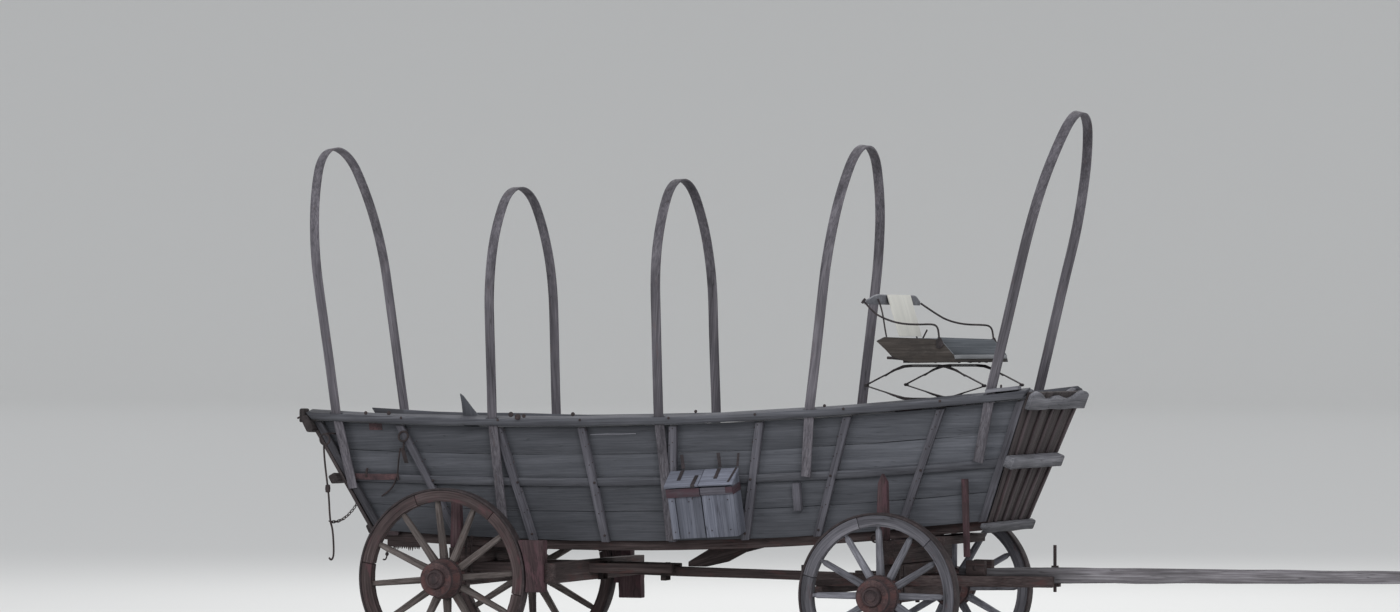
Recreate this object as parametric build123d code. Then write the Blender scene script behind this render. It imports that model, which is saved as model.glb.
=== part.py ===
from build123d import *
import os
from math import asin, atan, atan2, cos, radians, sin, sqrt, tan

# A big prairie wagon with a swaybacked bed, bare bows, a spring seat, a side toolbox,
# a stiff tongue and dished wooden wheels. Millimetres; +X is forwards, +Y is the wagon's
# left and +Z is up. The ground is z = 0 and the origin lies under the middle of the length.

# Wheels and axles.
REAR_AXLE_X = -3110
WHEELBASE = 3365
FRONT_AXLE_X = REAR_AXLE_X + WHEELBASE
TRACK = 1670
REAR_WHEEL_R = 660
FRONT_WHEEL_R = 590
TYRE_THICK = 16
TYRE_WIDTH = 90
FELLOE_DEPTH = 80
FELLOE_WIDTH = 82
SPOKES = 12
DISH = 45
HUB_Y = TRACK / 2 - DISH
HUB_INNER = 150
HUB_OUTER = 185
HUB_R = 155
CAP_R = 68
ARM_R = 32
RUNNING_FIT = 0.08
RING_GAP = 0.2

# Bed: three sagging lines seen from the side, each an arc with its lowest point.
BOTTOM_LINE = dict(low_x=-2154, low_z=914, radius=24820)
MIDDLE_LINE = dict(low_x=-2601, low_z=1349, radius=38920)
TOP_LINE = dict(low_x=-2635, low_z=1839, radius=34390)
REAR_FOOT_X = -3850
REAR_FOOT_Z = 980
REAR_RAKE = 27.7
FRONT_FOOT_X = 921
FRONT_FOOT_Z = 1105
FRONT_RAKE = 21.2
FLARE = 11.5
SIDE_Y = 545
FLARE_Z = 1850
BOARD = 25
BOARD_GAP = 3
RAIL_DEPTH = 75
RAIL_OUT = 82
RAIL_IN = 33
MIDDLE_RAIL_DEPTH = 74
MIDDLE_RAIL_OUT = 30
STAKE_OUT = 43
STAKE_WIDTH = 60
SHORT_STAKE_X = -530
END_GAP = 8

# Bows over the load space.
BOW_THICK = 14
BOW_WIDTH = 72
BOW_OUT = 55
BOW_SLOT_HALF = 50
BOW_SLOT_PLAY = 7
BOW_TOP_R = 420

# Bows: rows are x at the rail, lean and twist in degrees, height of the straight legs, rise
# of the arch and how far the legs go down below the rail's top.
BOW_TABLE = [
    (-4086, -8.5, 0, 991, 1000, 576),
    (-2828, -1.5, 0, 790, 900, 820),
    (-1513, -1.7, 1.2, 817, 900, 915),
    (-346, 6.9, 2.1, 940, 960, 500),
    (1021, 13.8, 2.5, 1043, 1000, 515),
]

# Running gear.
REACH_REAR_Z = 730
REACH_FRONT_Z = 675
REACH_WIDTH = 90
REACH_DEPTH = 66
KINGPIN_R = 16
STEER_GAP = 6


def block(x0, x1, y0, y1, z0, z1):
    """A box between two corners."""
    centre = Pos((x0 + x1) / 2, (y0 + y1) / 2, (z0 + z1) / 2)
    return centre * Box(x1 - x0, y1 - y0, z1 - z0)


def plate(points, y0, y1):
    """A plate with a straight-edged outline of (x, z) points, from y0 to y1."""
    corners = [(x, y0, z) for x, z in points]
    face = make_face(Polyline(corners, close=True))
    return extrude(face, amount=y1 - y0, dir=(0, 1, 0))


def slab(points, z0, z1):
    """A slab with a straight-edged outline of (x, y) points, from z0 to z1."""
    corners = [(x, y, z0) for x, y in points]
    face = make_face(Polyline(corners, close=True))
    return extrude(face, amount=z1 - z0, dir=(0, 0, 1))


def mirrored(shape):
    """The same piece on the wagon's other side."""
    return mirror(shape, about=Plane.XZ)


def save(name, *solids):
    """One node: one solid, or like solids that do not touch."""
    shape = solids[0] if len(solids) == 1 else Compound(children=list(solids))
    export_step(shape, "parts/" + name + ".step")


def line_z(line, x):
    """The height of a sagging line at x."""
    reach = x - line["low_x"]
    return line["low_z"] + line["radius"] - sqrt(line["radius"] ** 2 - reach ** 2)


def level_z(level, x):
    """0 is the bed's bottom edge, 1 the middle rail's centre and 2 the top rail's underside."""
    middle = line_z(MIDDLE_LINE, x)
    if level <= 1:
        return line_z(BOTTOM_LINE, x) * (1 - level) + middle * level
    return middle * (2 - level) + (line_z(TOP_LINE, x) - RAIL_DEPTH) * (level - 1)


def end_x(height, front, inset=0):
    """Where the height, a function of x, meets the raked front or rear end."""
    x = FRONT_FOOT_X if front else REAR_FOOT_X
    for _ in range(6):
        if front:
            x = FRONT_FOOT_X + (height(x) - FRONT_FOOT_Z) * tan(radians(FRONT_RAKE)) - inset
        else:
            x = REAR_FOOT_X - (height(x) - REAR_FOOT_Z) * tan(radians(REAR_RAKE)) + inset
    return x


def band(lower, upper, y0, y1, x_from=None, x_to=None):
    """A curved board or rail between two height functions, cut to the raked ends."""
    edges = []
    for height in (lower, upper):
        start = end_x(height, False) if x_from is None else x_from
        end = end_x(height, True) if x_to is None else x_to
        middle = (start + end) / 2
        edges.append([(x, y0, height(x)) for x in (start, middle, end)])
    low, high = edges
    outline = [
        ThreePointArc(*low),
        Line(low[2], high[2]),
        ThreePointArc(*reversed(high)),
        Line(high[0], low[0]),
    ]
    return extrude(make_face(outline), amount=y1 - y0, dir=(0, 1, 0))


def flared(shape):
    """Leans a piece of the left side outwards, about the top of the boards."""
    return shape.rotate(Axis((0, SIDE_Y, FLARE_Z), (1, 0, 0)), -FLARE)


def side_y(z, out=0):
    """Half the bed's width at a height, measured to the boards' outer face."""
    return SIDE_Y + out - (FLARE_Z - z) * tan(radians(FLARE))


def wheel(radius):
    """Hub, spokes with felloes, and tyre of a left wheel, its axle on Y at the hub's middle."""
    hub_half = [
        (ARM_R + RUNNING_FIT, -HUB_INNER),
        (105, -HUB_INNER),
        (108, -HUB_INNER + 40),
        (HUB_R, -45),
        (HUB_R, 45),
        (122, HUB_OUTER - 45),
        (118, HUB_OUTER),
        (CAP_R, HUB_OUTER),
        (CAP_R - 4, HUB_OUTER + 30),
        (0, HUB_OUTER + 30),
        (0, HUB_OUTER + 8),
        (ARM_R + RUNNING_FIT, HUB_OUTER + 8),
    ]
    profile = make_face(Polyline([(r, y, 0) for r, y in hub_half], close=True))
    hub = revolve(profile, Axis.Y)
    rim_outer = radius - TYRE_THICK - RING_GAP
    rim_inner = rim_outer - FELLOE_DEPTH
    ring_place = Pos(0, DISH, 0) * Rot(90, 0, 0)
    rim = ring_place * (Cylinder(rim_outer, FELLOE_WIDTH) - Cylinder(rim_inner, FELLOE_WIDTH))
    foot = Plane((0, 0, HUB_R - 35)) * Rectangle(54, 46)
    tip = Plane((0, DISH, rim_inner + 20)) * Rectangle(42, 38)
    spoke = loft([foot, tip])
    spokes = [spoke.rotate(Axis.Y, 360 / SPOKES * i) for i in range(SPOKES)]
    wood = rim
    for piece in spokes:
        wood = wood + piece
        hub = hub - piece
    tyre = ring_place * (Cylinder(radius, TYRE_WIDTH) - Cylinder(radius - TYRE_THICK, TYRE_WIDTH))
    return hub, wood, tyre


def arch_face(half, spring, rise, foot, grow):
    """The area under one edge of a bow, drawn in Y and Z; grow moves the edge outwards."""
    side_r = (half ** 2 + (rise - BOW_TOP_R) ** 2 - BOW_TOP_R ** 2) / (2 * (half - BOW_TOP_R))
    lift = (rise - BOW_TOP_R) / (side_r - BOW_TOP_R)
    knee_angle = asin(lift)

    def on_side(angle):
        return (half - side_r + (side_r + grow) * cos(angle), spring + (side_r + grow) * sin(angle))

    outer = half + grow
    toe = (outer + foot * tan(radians(FLARE)), foot)
    right = [toe, (outer, 0), (outer, spring), on_side(knee_angle / 2), on_side(knee_angle)]
    left = [(-y, z) for y, z in right]
    edges = [
        Line(right[0], right[1]),
        Line(right[1], right[2]),
        ThreePointArc(right[2], right[3], right[4]),
        ThreePointArc(right[4], (0, spring + rise + grow), left[4]),
        ThreePointArc(left[4], left[3], left[2]),
        Line(left[2], left[1]),
        Line(left[1], left[0]),
        Line(left[0], right[0]),
    ]
    return make_face(edges)


def bow(x, lean, twist, spring, rise, leg_down):
    """A bent strip: two legs that pass down behind the top rails, and an arch of three arcs
    between them. The twist takes the left leg back, about the right one."""
    z = line_z(TOP_LINE, x)
    half = side_y(z, BOW_OUT)
    outside = arch_face(half, spring, rise, -leg_down, BOW_THICK / 2)
    inside = arch_face(half, spring, rise, -leg_down - BOW_THICK, -BOW_THICK / 2)
    strip = extrude(outside - inside, amount=BOW_WIDTH / 2, both=True)
    upright = Plane(origin=(0, 0, 0), x_dir=(0, 1, 0), z_dir=(1, 0, 0)) * strip
    return (Pos(x, 0, z) * upright.rotate(Axis.Y, lean)).rotate(Axis((x, -half, z), (0, 0, 1)), twist)


os.makedirs("parts", exist_ok=True)

# Wheels: rows are name, axle x, radius.
WHEEL_TABLE = [
    ("rear", REAR_AXLE_X, REAR_WHEEL_R),
    ("front", FRONT_AXLE_X, FRONT_WHEEL_R),
]
for name, x, radius in WHEEL_TABLE:
    made = wheel(radius)
    for piece, shape in zip(("hub", "spokes", "tyre"), made):
        left = Pos(x, HUB_Y, radius) * shape
        save(name + "_left_wheel_" + piece, left)
        save(name + "_right_wheel_" + piece, mirrored(left))

# Floor boards and the sills that carry them.
FLOOR_LIFT = 20
FLOOR_HALF = 325
FLOOR_COUNT = 5
floor = []
floor_pitch = 2 * FLOOR_HALF / FLOOR_COUNT
for i in range(FLOOR_COUNT):
    y0 = -FLOOR_HALF + floor_pitch * i + BOARD_GAP / 2
    y1 = y0 + floor_pitch - BOARD_GAP
    floor.append(band(
        lambda x: line_z(BOTTOM_LINE, x) + FLOOR_LIFT,
        lambda x: line_z(BOTTOM_LINE, x) + FLOOR_LIFT + BOARD,
        y0, y1, REAR_FOOT_X + 20, FRONT_FOOT_X - 25))
save("bed_floor", *floor)

SILL_WIDTH = 70
SILL_DEPTH = 70
SILL_XS = (-3110, -2540, -1970, -1400, -830, -290, 255)


def sill_top(x):
    """The underside of the floor boards."""
    return line_z(BOTTOM_LINE, x) + FLOOR_LIFT - 0.5


def sill_bottom(x):
    """The underside of the floor frame."""
    return sill_top(x) - SILL_DEPTH


frame_x0 = REAR_FOOT_X + 20
frame_x1 = FRONT_FOOT_X - 25
long_sill = band(sill_bottom, sill_top, FLOOR_HALF - SILL_WIDTH, FLOOR_HALF, frame_x0, frame_x1)
cross_half = FLOOR_HALF - SILL_WIDTH
sills = [long_sill, mirrored(long_sill)]
for x in SILL_XS:
    x0 = x - SILL_WIDTH / 2
    sills.append(band(sill_bottom, sill_top, -cross_half, cross_half, x0, x0 + SILL_WIDTH))
for x0 in (frame_x0, frame_x1 - SILL_WIDTH):
    sills.append(band(sill_bottom, sill_top, -cross_half, cross_half, x0, x0 + SILL_WIDTH))
floor_frame = sills[0]
for sill in sills[1:]:
    floor_frame = floor_frame + sill
save("floor_frame", floor_frame)

def bow_slot(x, lean, twist):
    """The mortise in a top rail that a bow's leg passes down through."""
    z = line_z(TOP_LINE, x)
    x = x - 2 * side_y(z, BOW_OUT) * sin(radians(twist))
    play = BOW_THICK / 2 + BOW_SLOT_PLAY
    slot = block(
        x - BOW_SLOT_HALF, x + BOW_SLOT_HALF, SIDE_Y + BOW_OUT - play, SIDE_Y + BOW_OUT + play,
        z - 2 * RAIL_DEPTH, z + RAIL_DEPTH)
    return slot.rotate(Axis((x, SIDE_Y, z), (0, 1, 0)), lean)


# Sides: four rows of boards, two rails and a fan of stakes.
both_sides = {"side_boards": [], "side_rails": [], "side_stakes": []}
for side in ("left", "right"):
    boards = []
    for low, high in ((0, 0.5), (0.5, 1), (1, 1.5), (1.5, 2)):
        boards.append(band(
            lambda x, f=low: level_z(f, x) + BOARD_GAP / 2,
            lambda x, f=high: level_z(f, x) - BOARD_GAP / 2,
            SIDE_Y - BOARD, SIDE_Y))
    top_rail = band(
        lambda x: line_z(TOP_LINE, x) - RAIL_DEPTH,
        lambda x: line_z(TOP_LINE, x),
        SIDE_Y - RAIL_IN, SIDE_Y + RAIL_OUT)
    for x, lean, twist, *_ in BOW_TABLE:
        slot = bow_slot(x, lean, twist if side == "left" else 0)
        top_rail = top_rail - slot
    middle_rail = band(
        lambda x: line_z(MIDDLE_LINE, x) - MIDDLE_RAIL_DEPTH / 2,
        lambda x: line_z(MIDDLE_LINE, x) + MIDDLE_RAIL_DEPTH / 2,
        SIDE_Y, SIDE_Y + MIDDLE_RAIL_OUT)
    # Stakes: rows are rear edge at the foot and at the head.
    stake_table = [
        (-3219, -3620), (-2619, -2827), (-2043, -2165), (-1519, -1449),
        (-951, -775), (-396, -103), (235, 605),
    ]
    for front in (False, True):
        shift = STAKE_WIDTH if front else 0
        row = [end_x(lambda x, f=f: level_z(f, x), front) - shift for f in (0, 2)]
        stake_table.append(tuple(row))
    stakes = []
    for foot, head in stake_table:
        outline = [
            (foot, level_z(0, foot)), (foot + STAKE_WIDTH, level_z(0, foot + STAKE_WIDTH)),
            (head + STAKE_WIDTH, level_z(2, head + STAKE_WIDTH) - 0.5), (head, level_z(2, head) - 0.5),
        ]
        stakes.append(plate(outline, SIDE_Y, SIDE_Y + STAKE_OUT) - middle_rail)
    short_stake = band(
        lambda x: level_z(0.45, x), lambda x: level_z(1, x) - MIDDLE_RAIL_DEPTH / 2 - 1,
        SIDE_Y, SIDE_Y + STAKE_OUT, SHORT_STAKE_X, SHORT_STAKE_X + STAKE_WIDTH)
    stakes.append(short_stake)
    groups = [
        ("side_boards", boards),
        ("side_rails", [top_rail, middle_rail]),
        ("side_stakes", stakes),
    ]
    for group, pieces in groups:
        placed = [flared(piece) for piece in pieces]
        if side == "right":
            placed = [mirrored(piece) for piece in placed]
        both_sides[group] += placed
for group, pieces in both_sides.items():
    save(group, *pieces)

save("bows", *[bow(*row) for row in BOW_TABLE])


# End panels. Rows are foot height, depth, thickness and the two ends of a cross rail.
FRONT_TALL = 1000
FRONT_RAILS = [(-50, 72, 45, -660, 470), (449, 85, 75, -660, 490)]
GATE_BEAM_LOW = 858
GATE_TALL = 990
GATE_RAILS = [(15, 70, 40, -380, 380), (447, 68, 64, -560, 560)]
PANEL_BOARDS = 7
BATTENS = 5
BATTEN_WIDTH = 46
BATTEN_THICK = 16


def end_place(front):
    """Leans a panel built upright at x = 0 and z = 0 and puts it at its end of the bed."""
    if front:
        return Pos(FRONT_FOOT_X, 0, FRONT_FOOT_Z) * Rot(0, FRONT_RAKE, 0)
    return Pos(REAR_FOOT_X, 0, REAR_FOOT_Z) * Rot(0, -REAR_RAKE, 0)


def end_strip(low_y, high_y, z0, z1, x0, thick):
    """An upright strip of an end panel; low_y and high_y are its two edges at z0 and z1."""
    corners = [(x0, low_y[0], z0), (x0, low_y[1], z0), (x0, high_y[1], z1), (x0, high_y[0], z1)]
    return extrude(make_face(Polyline(corners, close=True)), amount=abs(thick), dir=(thick, 0, 0))


def end_half(front, height):
    """Half the width of a panel at a height up its slope."""
    foot_z = FRONT_FOOT_Z if front else REAR_FOOT_Z
    rake = FRONT_RAKE if front else REAR_RAKE
    return side_y(foot_z + height * cos(radians(rake)), STAKE_OUT)


def end_boards(front, tall):
    """The upright boards of a panel, fanned out with the sides."""
    out = 1 if front else -1
    boards = []
    for i in range(PANEL_BOARDS):
        edges = []
        for height in (0, tall):
            half = end_half(front, height)
            edges.append([
                -half + 2 * half * i / PANEL_BOARDS + BOARD_GAP / 2,
                -half + 2 * half * (i + 1) / PANEL_BOARDS - BOARD_GAP / 2,
            ])
        board = end_strip(edges[0], edges[1], 0, tall, out * END_GAP, out * BOARD)
        boards.append(end_place(front) * board)
    return boards


def end_rails(front, rows):
    """The cross rails outside a panel's boards."""
    out = 1 if front else -1
    x0 = out * (END_GAP + BOARD)
    rails = []
    for z0, deep, thick, y0, y1 in rows:
        x1 = x0 + out * thick
        rail = block(min(x0, x1), max(x0, x1), y0, y1, z0, z0 + deep)
        rails.append(end_place(front) * chamfer(rail.edges().filter_by(Axis.Y), 8))
    return rails


save("front_end_boards", *end_boards(True, FRONT_TALL))
battens = []
for z0, z1 in ((24, 447), (536, 880)):
    for i in range(BATTENS):
        edges = []
        for height in (z0, z1):
            middle = end_half(True, height) * (2 * i / (BATTENS - 1) - 1) * 0.86
            edges.append([middle - BATTEN_WIDTH / 2, middle + BATTEN_WIDTH / 2])
        batten = end_strip(edges[0], edges[1], z0, z1, END_GAP + BOARD + 0.3, BATTEN_THICK)
        battens.append(end_place(True) * batten)
save("front_end_battens", *battens)

# The carved rails over the front: a cupid's bow with high ends. Rows are y and top edge.
CARVED_LOW = 884
CARVED_TOP = [(-650, 992), (-540, 1016), (-290, 962), (0, 982), (290, 962), (540, 1016), (650, 992)]


def carved_rail(x0, thick, half):
    """A board whose top edge follows the carved line, cut off at the half length."""
    top = Spline(*[(x0, y, z) for y, z in CARVED_TOP])
    first, last = CARVED_TOP[0][0], CARVED_TOP[-1][0]
    sides = Polyline((x0, last, CARVED_TOP[-1][1]), (x0, last, CARVED_LOW),
                     (x0, first, CARVED_LOW), (x0, first, CARVED_TOP[0][1]))
    board = extrude(make_face([top, sides]), amount=thick, dir=(1, 0, 0))
    return end_place(True) * (board & block(x0, x0 + thick, -half, half, 0, 1200))


# The low front rail is scarfed under its long end, clear of a steered wheel.
front_rails = end_rails(True, FRONT_RAILS)
scarf = make_face(Polyline((0, -530, -54), (0, -660, -14), (0, -700, -14), (0, -700, -54), close=True))
front_rails[0] = front_rails[0] - end_place(True) * extrude(scarf, amount=120, dir=(1, 0, 0))
front_rails.append(carved_rail(END_GAP + BOARD, 40, 650))
front_rails.append(carved_rail(END_GAP - 37, 36, 505))
save("front_end_rails", *front_rails)
save("tail_gate_boards", *end_boards(False, GATE_BEAM_LOW - 1))
gate_beam = block(-END_GAP - 62, -END_GAP, -630, 630, GATE_BEAM_LOW, GATE_TALL)
gate_beam = end_place(False) * chamfer(gate_beam.edges().filter_by(Axis.Y), 14)
save("tail_gate_rails", *end_rails(False, GATE_RAILS), gate_beam)

# Rear running gear.
AXLE_WIDTH = 100
AXLE_HALF = HUB_Y - HUB_INNER - STEER_GAP
REAR_AXLE_TOP = 693
BOLSTER_HALF = 625


def axle_beam(x, z, bottom, top):
    """A timber axle with an iron arm at each end for the wheels to run on."""
    beam = block(x - AXLE_WIDTH / 2, x + AXLE_WIDTH / 2, -AXLE_HALF, AXLE_HALF, bottom, top)
    arm_half = HUB_Y + HUB_OUTER
    arm = Pos(x, 0, z) * Rot(90, 0, 0) * Cylinder(ARM_R, 2 * arm_half)
    return beam + arm


def reach_z(x):
    """The height of the reach's centre line."""
    return REACH_REAR_Z + (x - REAR_AXLE_X) * (REACH_FRONT_Z - REACH_REAR_Z) / WHEELBASE


save("rear_axle", axle_beam(REAR_AXLE_X, REAR_WHEEL_R, 600, REAR_AXLE_TOP))
half = REACH_DEPTH / 2
rear_bolster = block(
    REAR_AXLE_X - 50, REAR_AXLE_X + 50, -BOLSTER_HALF, BOLSTER_HALF,
    REACH_REAR_Z + half + 1, sill_bottom(REAR_AXLE_X + 50) - 1)

reach_rear_x = REAR_AXLE_X - 230
reach_front_x = FRONT_AXLE_X + 70
reach = plate([
    (reach_rear_x, reach_z(reach_rear_x) - half), (reach_front_x, reach_z(reach_front_x) - half),
    (reach_front_x, reach_z(reach_front_x) + half), (reach_rear_x, reach_z(reach_rear_x) + half),
], -REACH_WIDTH / 2, REACH_WIDTH / 2)
kingpin_hole = Pos(FRONT_AXLE_X, 0, 700) * Cylinder(KINGPIN_R + RUNNING_FIT, 600)
save("reach", reach - kingpin_hole)

HOUND_TIP_X = REAR_AXLE_X + 1500
rear_hound = slab([
    (REAR_AXLE_X - 120, 330), (REAR_AXLE_X + 60, 330), (HOUND_TIP_X, REACH_WIDTH / 2 + 2),
    (HOUND_TIP_X, REACH_WIDTH / 2 + 60), (REAR_AXLE_X + 60, 395), (REAR_AXLE_X - 120, 395),
], REAR_AXLE_TOP + 1, REACH_REAR_Z + half)
save("rear_hounds", rear_hound, mirrored(rear_hound))

# A strut from the reach up to the floor.
strut_outline = [
    (-1510, 742), (-1380, 742), (-1210, 780), (-1075, 850), (-900, 895),
    (-900, 945), (-1120, 938), (-1334, 880), (-1510, 778),
]
save("reach_strut", plate(strut_outline, -30, 30))

# Brakes: a beam across in front of the rear wheels, with a hanging block at each end.
BRAKE_X = REAR_AXLE_X + REAR_WHEEL_R + 12
BRAKE_BLOCK_X1 = BRAKE_X + 135
beam = block(BRAKE_BLOCK_X1 - 1, BRAKE_BLOCK_X1 + 90, -HUB_Y - 60, HUB_Y + 60, 640, 785)
for carrier in (reach, rear_hound, mirrored(rear_hound)):
    beam = beam - carrier
save("brake_beam", beam)
wheel_clear = Pos(REAR_AXLE_X, HUB_Y + DISH, REAR_WHEEL_R) * Rot(90, 0, 0) * Cylinder(REAR_WHEEL_R + 12, 300)
brake_block = block(BRAKE_X - 60, BRAKE_BLOCK_X1 - 2, HUB_Y, HUB_Y + 90, 574, 950) - wheel_clear
save("brake_blocks", brake_block, mirrored(brake_block))

# Front bolster on the bed, and the pin that the front gear turns on.
BOLSTER_FOOT = 806
front_bolster = block(
    FRONT_AXLE_X - 50, FRONT_AXLE_X + 50, -BOLSTER_HALF, BOLSTER_HALF,
    BOLSTER_FOOT, sill_bottom(FRONT_AXLE_X - 50) - 1)
save("bolsters", rear_bolster, front_bolster - kingpin_hole)
kingpin = Pos(FRONT_AXLE_X, 0, 700) * Cylinder(KINGPIN_R, 380)
save("kingpin", kingpin)

# Stakes that stand on the bolsters' ends: rows are x, foot and top.
bolster_stakes = []
for x, foot, top in (
        (REAR_AXLE_X, sill_bottom(REAR_AXLE_X + 50) - 0.7, 1400),
        (FRONT_AXLE_X, sill_bottom(FRONT_AXLE_X - 50) - 0.7, 1450)):
    outline = [(x - 45, foot), (x + 45, foot), (x + 30, top - 60), (x - 5, top), (x - 36, top - 70)]
    stake = plate(outline, BOLSTER_HALF - 65, BOLSTER_HALF - 5)
    bolster_stakes += [stake, mirrored(stake)]
save("bolster_stakes", *bolster_stakes)

# A cross beam under the sills behind the front end, and a post that hangs on the right side.
CROSS_BEAM_X = 468
beam_top = sill_bottom(CROSS_BEAM_X) - 1
save("front_cross_beam", block(CROSS_BEAM_X, CROSS_BEAM_X + 150, -450, 450, beam_top - 60, beam_top))
POST_OUT = STAKE_OUT + 2
post_outline = [(742, 850), (790, 850), (812, 1417), (764, 1417)]
save("hanging_post", mirrored(flared(plate(post_outline, SIDE_Y + POST_OUT, SIDE_Y + POST_OUT + 20))))

# Front gear.
FRONT_AXLE_TOP = 635
SAND_BOTTOM = 715
SAND_TOP = BOLSTER_FOOT - STEER_GAP
save("front_axle", axle_beam(FRONT_AXLE_X, FRONT_WHEEL_R, 530, FRONT_AXLE_TOP) - kingpin_hole)
SAND_HALF = 560
sand_board = block(
    FRONT_AXLE_X - 55, FRONT_AXLE_X + 55, -SAND_HALF, SAND_HALF, SAND_BOTTOM, SAND_TOP)
save("sand_board", sand_board - kingpin_hole)
HOUND_REAR_X = FRONT_AXLE_X - 620
HOUND_FRONT_X = FRONT_AXLE_X + 1050
TONGUE_ROOT_HALF = 52
front_hound = slab([
    (HOUND_REAR_X, 390), (FRONT_AXLE_X - 60, 190), (FRONT_AXLE_X + 300, 110),
    (HOUND_FRONT_X, TONGUE_ROOT_HALF + 2), (HOUND_FRONT_X, TONGUE_ROOT_HALF + 52),
    (FRONT_AXLE_X + 300, 170), (FRONT_AXLE_X + 60, 250), (HOUND_REAR_X, 450),
], FRONT_AXLE_TOP + 1, SAND_BOTTOM - 1)
save("front_hounds", front_hound, mirrored(front_hound))
sway_bar = block(HOUND_REAR_X, HOUND_REAR_X + 80, -520, 520, FRONT_AXLE_TOP - 60, FRONT_AXLE_TOP)
save("sway_bar", sway_bar)

TONGUE_TIP_X = 4417
TIP_HOLE_R = 11
DRAW_X = HOUND_FRONT_X - 13
DRAW_PIN_R = 12
DRAW_COLLAR_R = 26
DRAW_LOW = 602
DRAW_HIGH = 937
tongue_root_x = FRONT_AXLE_X + 330
tongue_top = 777
tongue_outline = [
    (tongue_root_x, 655), (HOUND_FRONT_X, 666), (TONGUE_TIP_X, 712),
    (TONGUE_TIP_X, 790), (HOUND_FRONT_X, tongue_top), (tongue_root_x, 760),
]
tongue = plate(tongue_outline, -TONGUE_ROOT_HALF, TONGUE_ROOT_HALF)
tongue = tongue - Pos(DRAW_X, 0, tongue_top) * Cylinder(DRAW_PIN_R + RUNNING_FIT, 400)
tongue = tongue - Pos(TONGUE_TIP_X - 80, 0, tongue_top) * Cylinder(TIP_HOLE_R, 400)
save("tongue", tongue)
draw_pin = Pos(DRAW_X, 0, (DRAW_LOW + DRAW_HIGH) / 2) * Cylinder(DRAW_PIN_R, DRAW_HIGH - DRAW_LOW)
save("draw_pin", draw_pin + Pos(DRAW_X, 0, tongue_top + 7) * Cylinder(DRAW_COLLAR_R, 12))

# Toolbox on the right side: drawn upright beside the left side, leaned with it and mirrored.
BOX_X0 = -1412
BOX_X1 = -904
BOX_BACK = SIDE_Y + STAKE_OUT + 2
BOX_OUT = 160
BOX_LOW = 998
BOX_FRONT_TOP = 1372
BOX_BACK_TOP = 1450
BOX_TILT = 3.5
BOX_BAND_DEPTH = 62
BOX_BAND_THICK = 5
WALL = 18
LID_THICK = 20
LID_LIFT = 6
LID_OVER = 12


def box_solid(x0, x1, back, front, low, back_top, front_top):
    """A box whose top slopes down from the wall to its front."""
    corners = [(x0, back, low), (x0, front, low), (x0, front, front_top), (x0, back, back_top)]
    return extrude(make_face(Polyline(corners, close=True)), amount=x1 - x0, dir=(1, 0, 0))


def box_placed(shape):
    """Tips a piece of the toolbox with the bed's rise, leans it and takes it to the right."""
    axis = Axis(((BOX_X0 + BOX_X1) / 2, BOX_BACK, BOX_LOW), (0, 1, 0))
    return mirrored(flared(shape.rotate(axis, -BOX_TILT)))


box_front = BOX_BACK + BOX_OUT
toolbox = box_solid(BOX_X0, BOX_X1, BOX_BACK, box_front, BOX_LOW, BOX_BACK_TOP, BOX_FRONT_TOP)
toolbox = toolbox - box_solid(
    BOX_X0 + WALL, BOX_X1 - WALL, BOX_BACK + WALL, box_front - WALL, BOX_LOW + WALL, 1600, 1600)
save("toolbox", box_placed(toolbox))
band_top = BOX_FRONT_TOP - 4
box_band = block(
    BOX_X0 - BOX_BAND_THICK, BOX_X1 + BOX_BAND_THICK, BOX_BACK, box_front + BOX_BAND_THICK,
    band_top - BOX_BAND_DEPTH, band_top)
box_band = box_band - block(
    BOX_X0 - 0.3, BOX_X1 + 0.3, 0, box_front + 0.3, band_top - BOX_BAND_DEPTH, band_top)
save("toolbox_band", box_placed(box_band))
lid_slope = atan2(BOX_BACK_TOP - BOX_FRONT_TOP, BOX_OUT)
LID_BACK = BOX_BACK + 8
lid_back_z = BOX_BACK_TOP + LID_LIFT
lid_front_z = lid_back_z - (box_front + LID_OVER - LID_BACK) * tan(lid_slope)
lid_x = BOX_X0 - LID_OVER
lid_corners = [
    (lid_x, LID_BACK, lid_back_z), (lid_x, box_front + LID_OVER, lid_front_z),
    (lid_x, box_front + LID_OVER, lid_front_z + LID_THICK), (lid_x, LID_BACK, lid_back_z + LID_THICK),
]
lid_face = make_face(Polyline(lid_corners, close=True))
lid = extrude(lid_face, amount=BOX_X1 - BOX_X0 + 2 * LID_OVER, dir=(1, 0, 0))
save("toolbox_lid", box_placed(lid))

# Spring seat: a pan with sloped ends, a back band on a wide board, rod arms and leaf springs.
SEAT_HALF = 600
SEAT_FLOOR = 2240
END_THICK = 22
pan_end = [
    (153, 2391), (213, 2420), (633, 2405), (730, 2299),
    (745, SEAT_FLOOR), (446, SEAT_FLOOR - 5), (281, 2278),
]
pan = plate(pan_end, SEAT_HALF - END_THICK, SEAT_HALF)
pan = pan + mirrored(pan)
pan = pan + block(270, 740, -SEAT_HALF + 5, SEAT_HALF - 5, 2262, 2284)
pan_back = [(160, 2385), (205, 2415), (225, 2405), (300, 2282), (275, 2270)]
pan = pan + plate(pan_back, -SEAT_HALF + 5, SEAT_HALF - 5)
save("seat_pan", pan)
save("seat_back_band", block(85, 103, -SEAT_HALF, SEAT_HALF, 2650, 2725))
save("seat_back_board", plate([(104, 2725), (190, 2425), (206, 2425), (120, 2725)], -240, 240))


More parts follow.
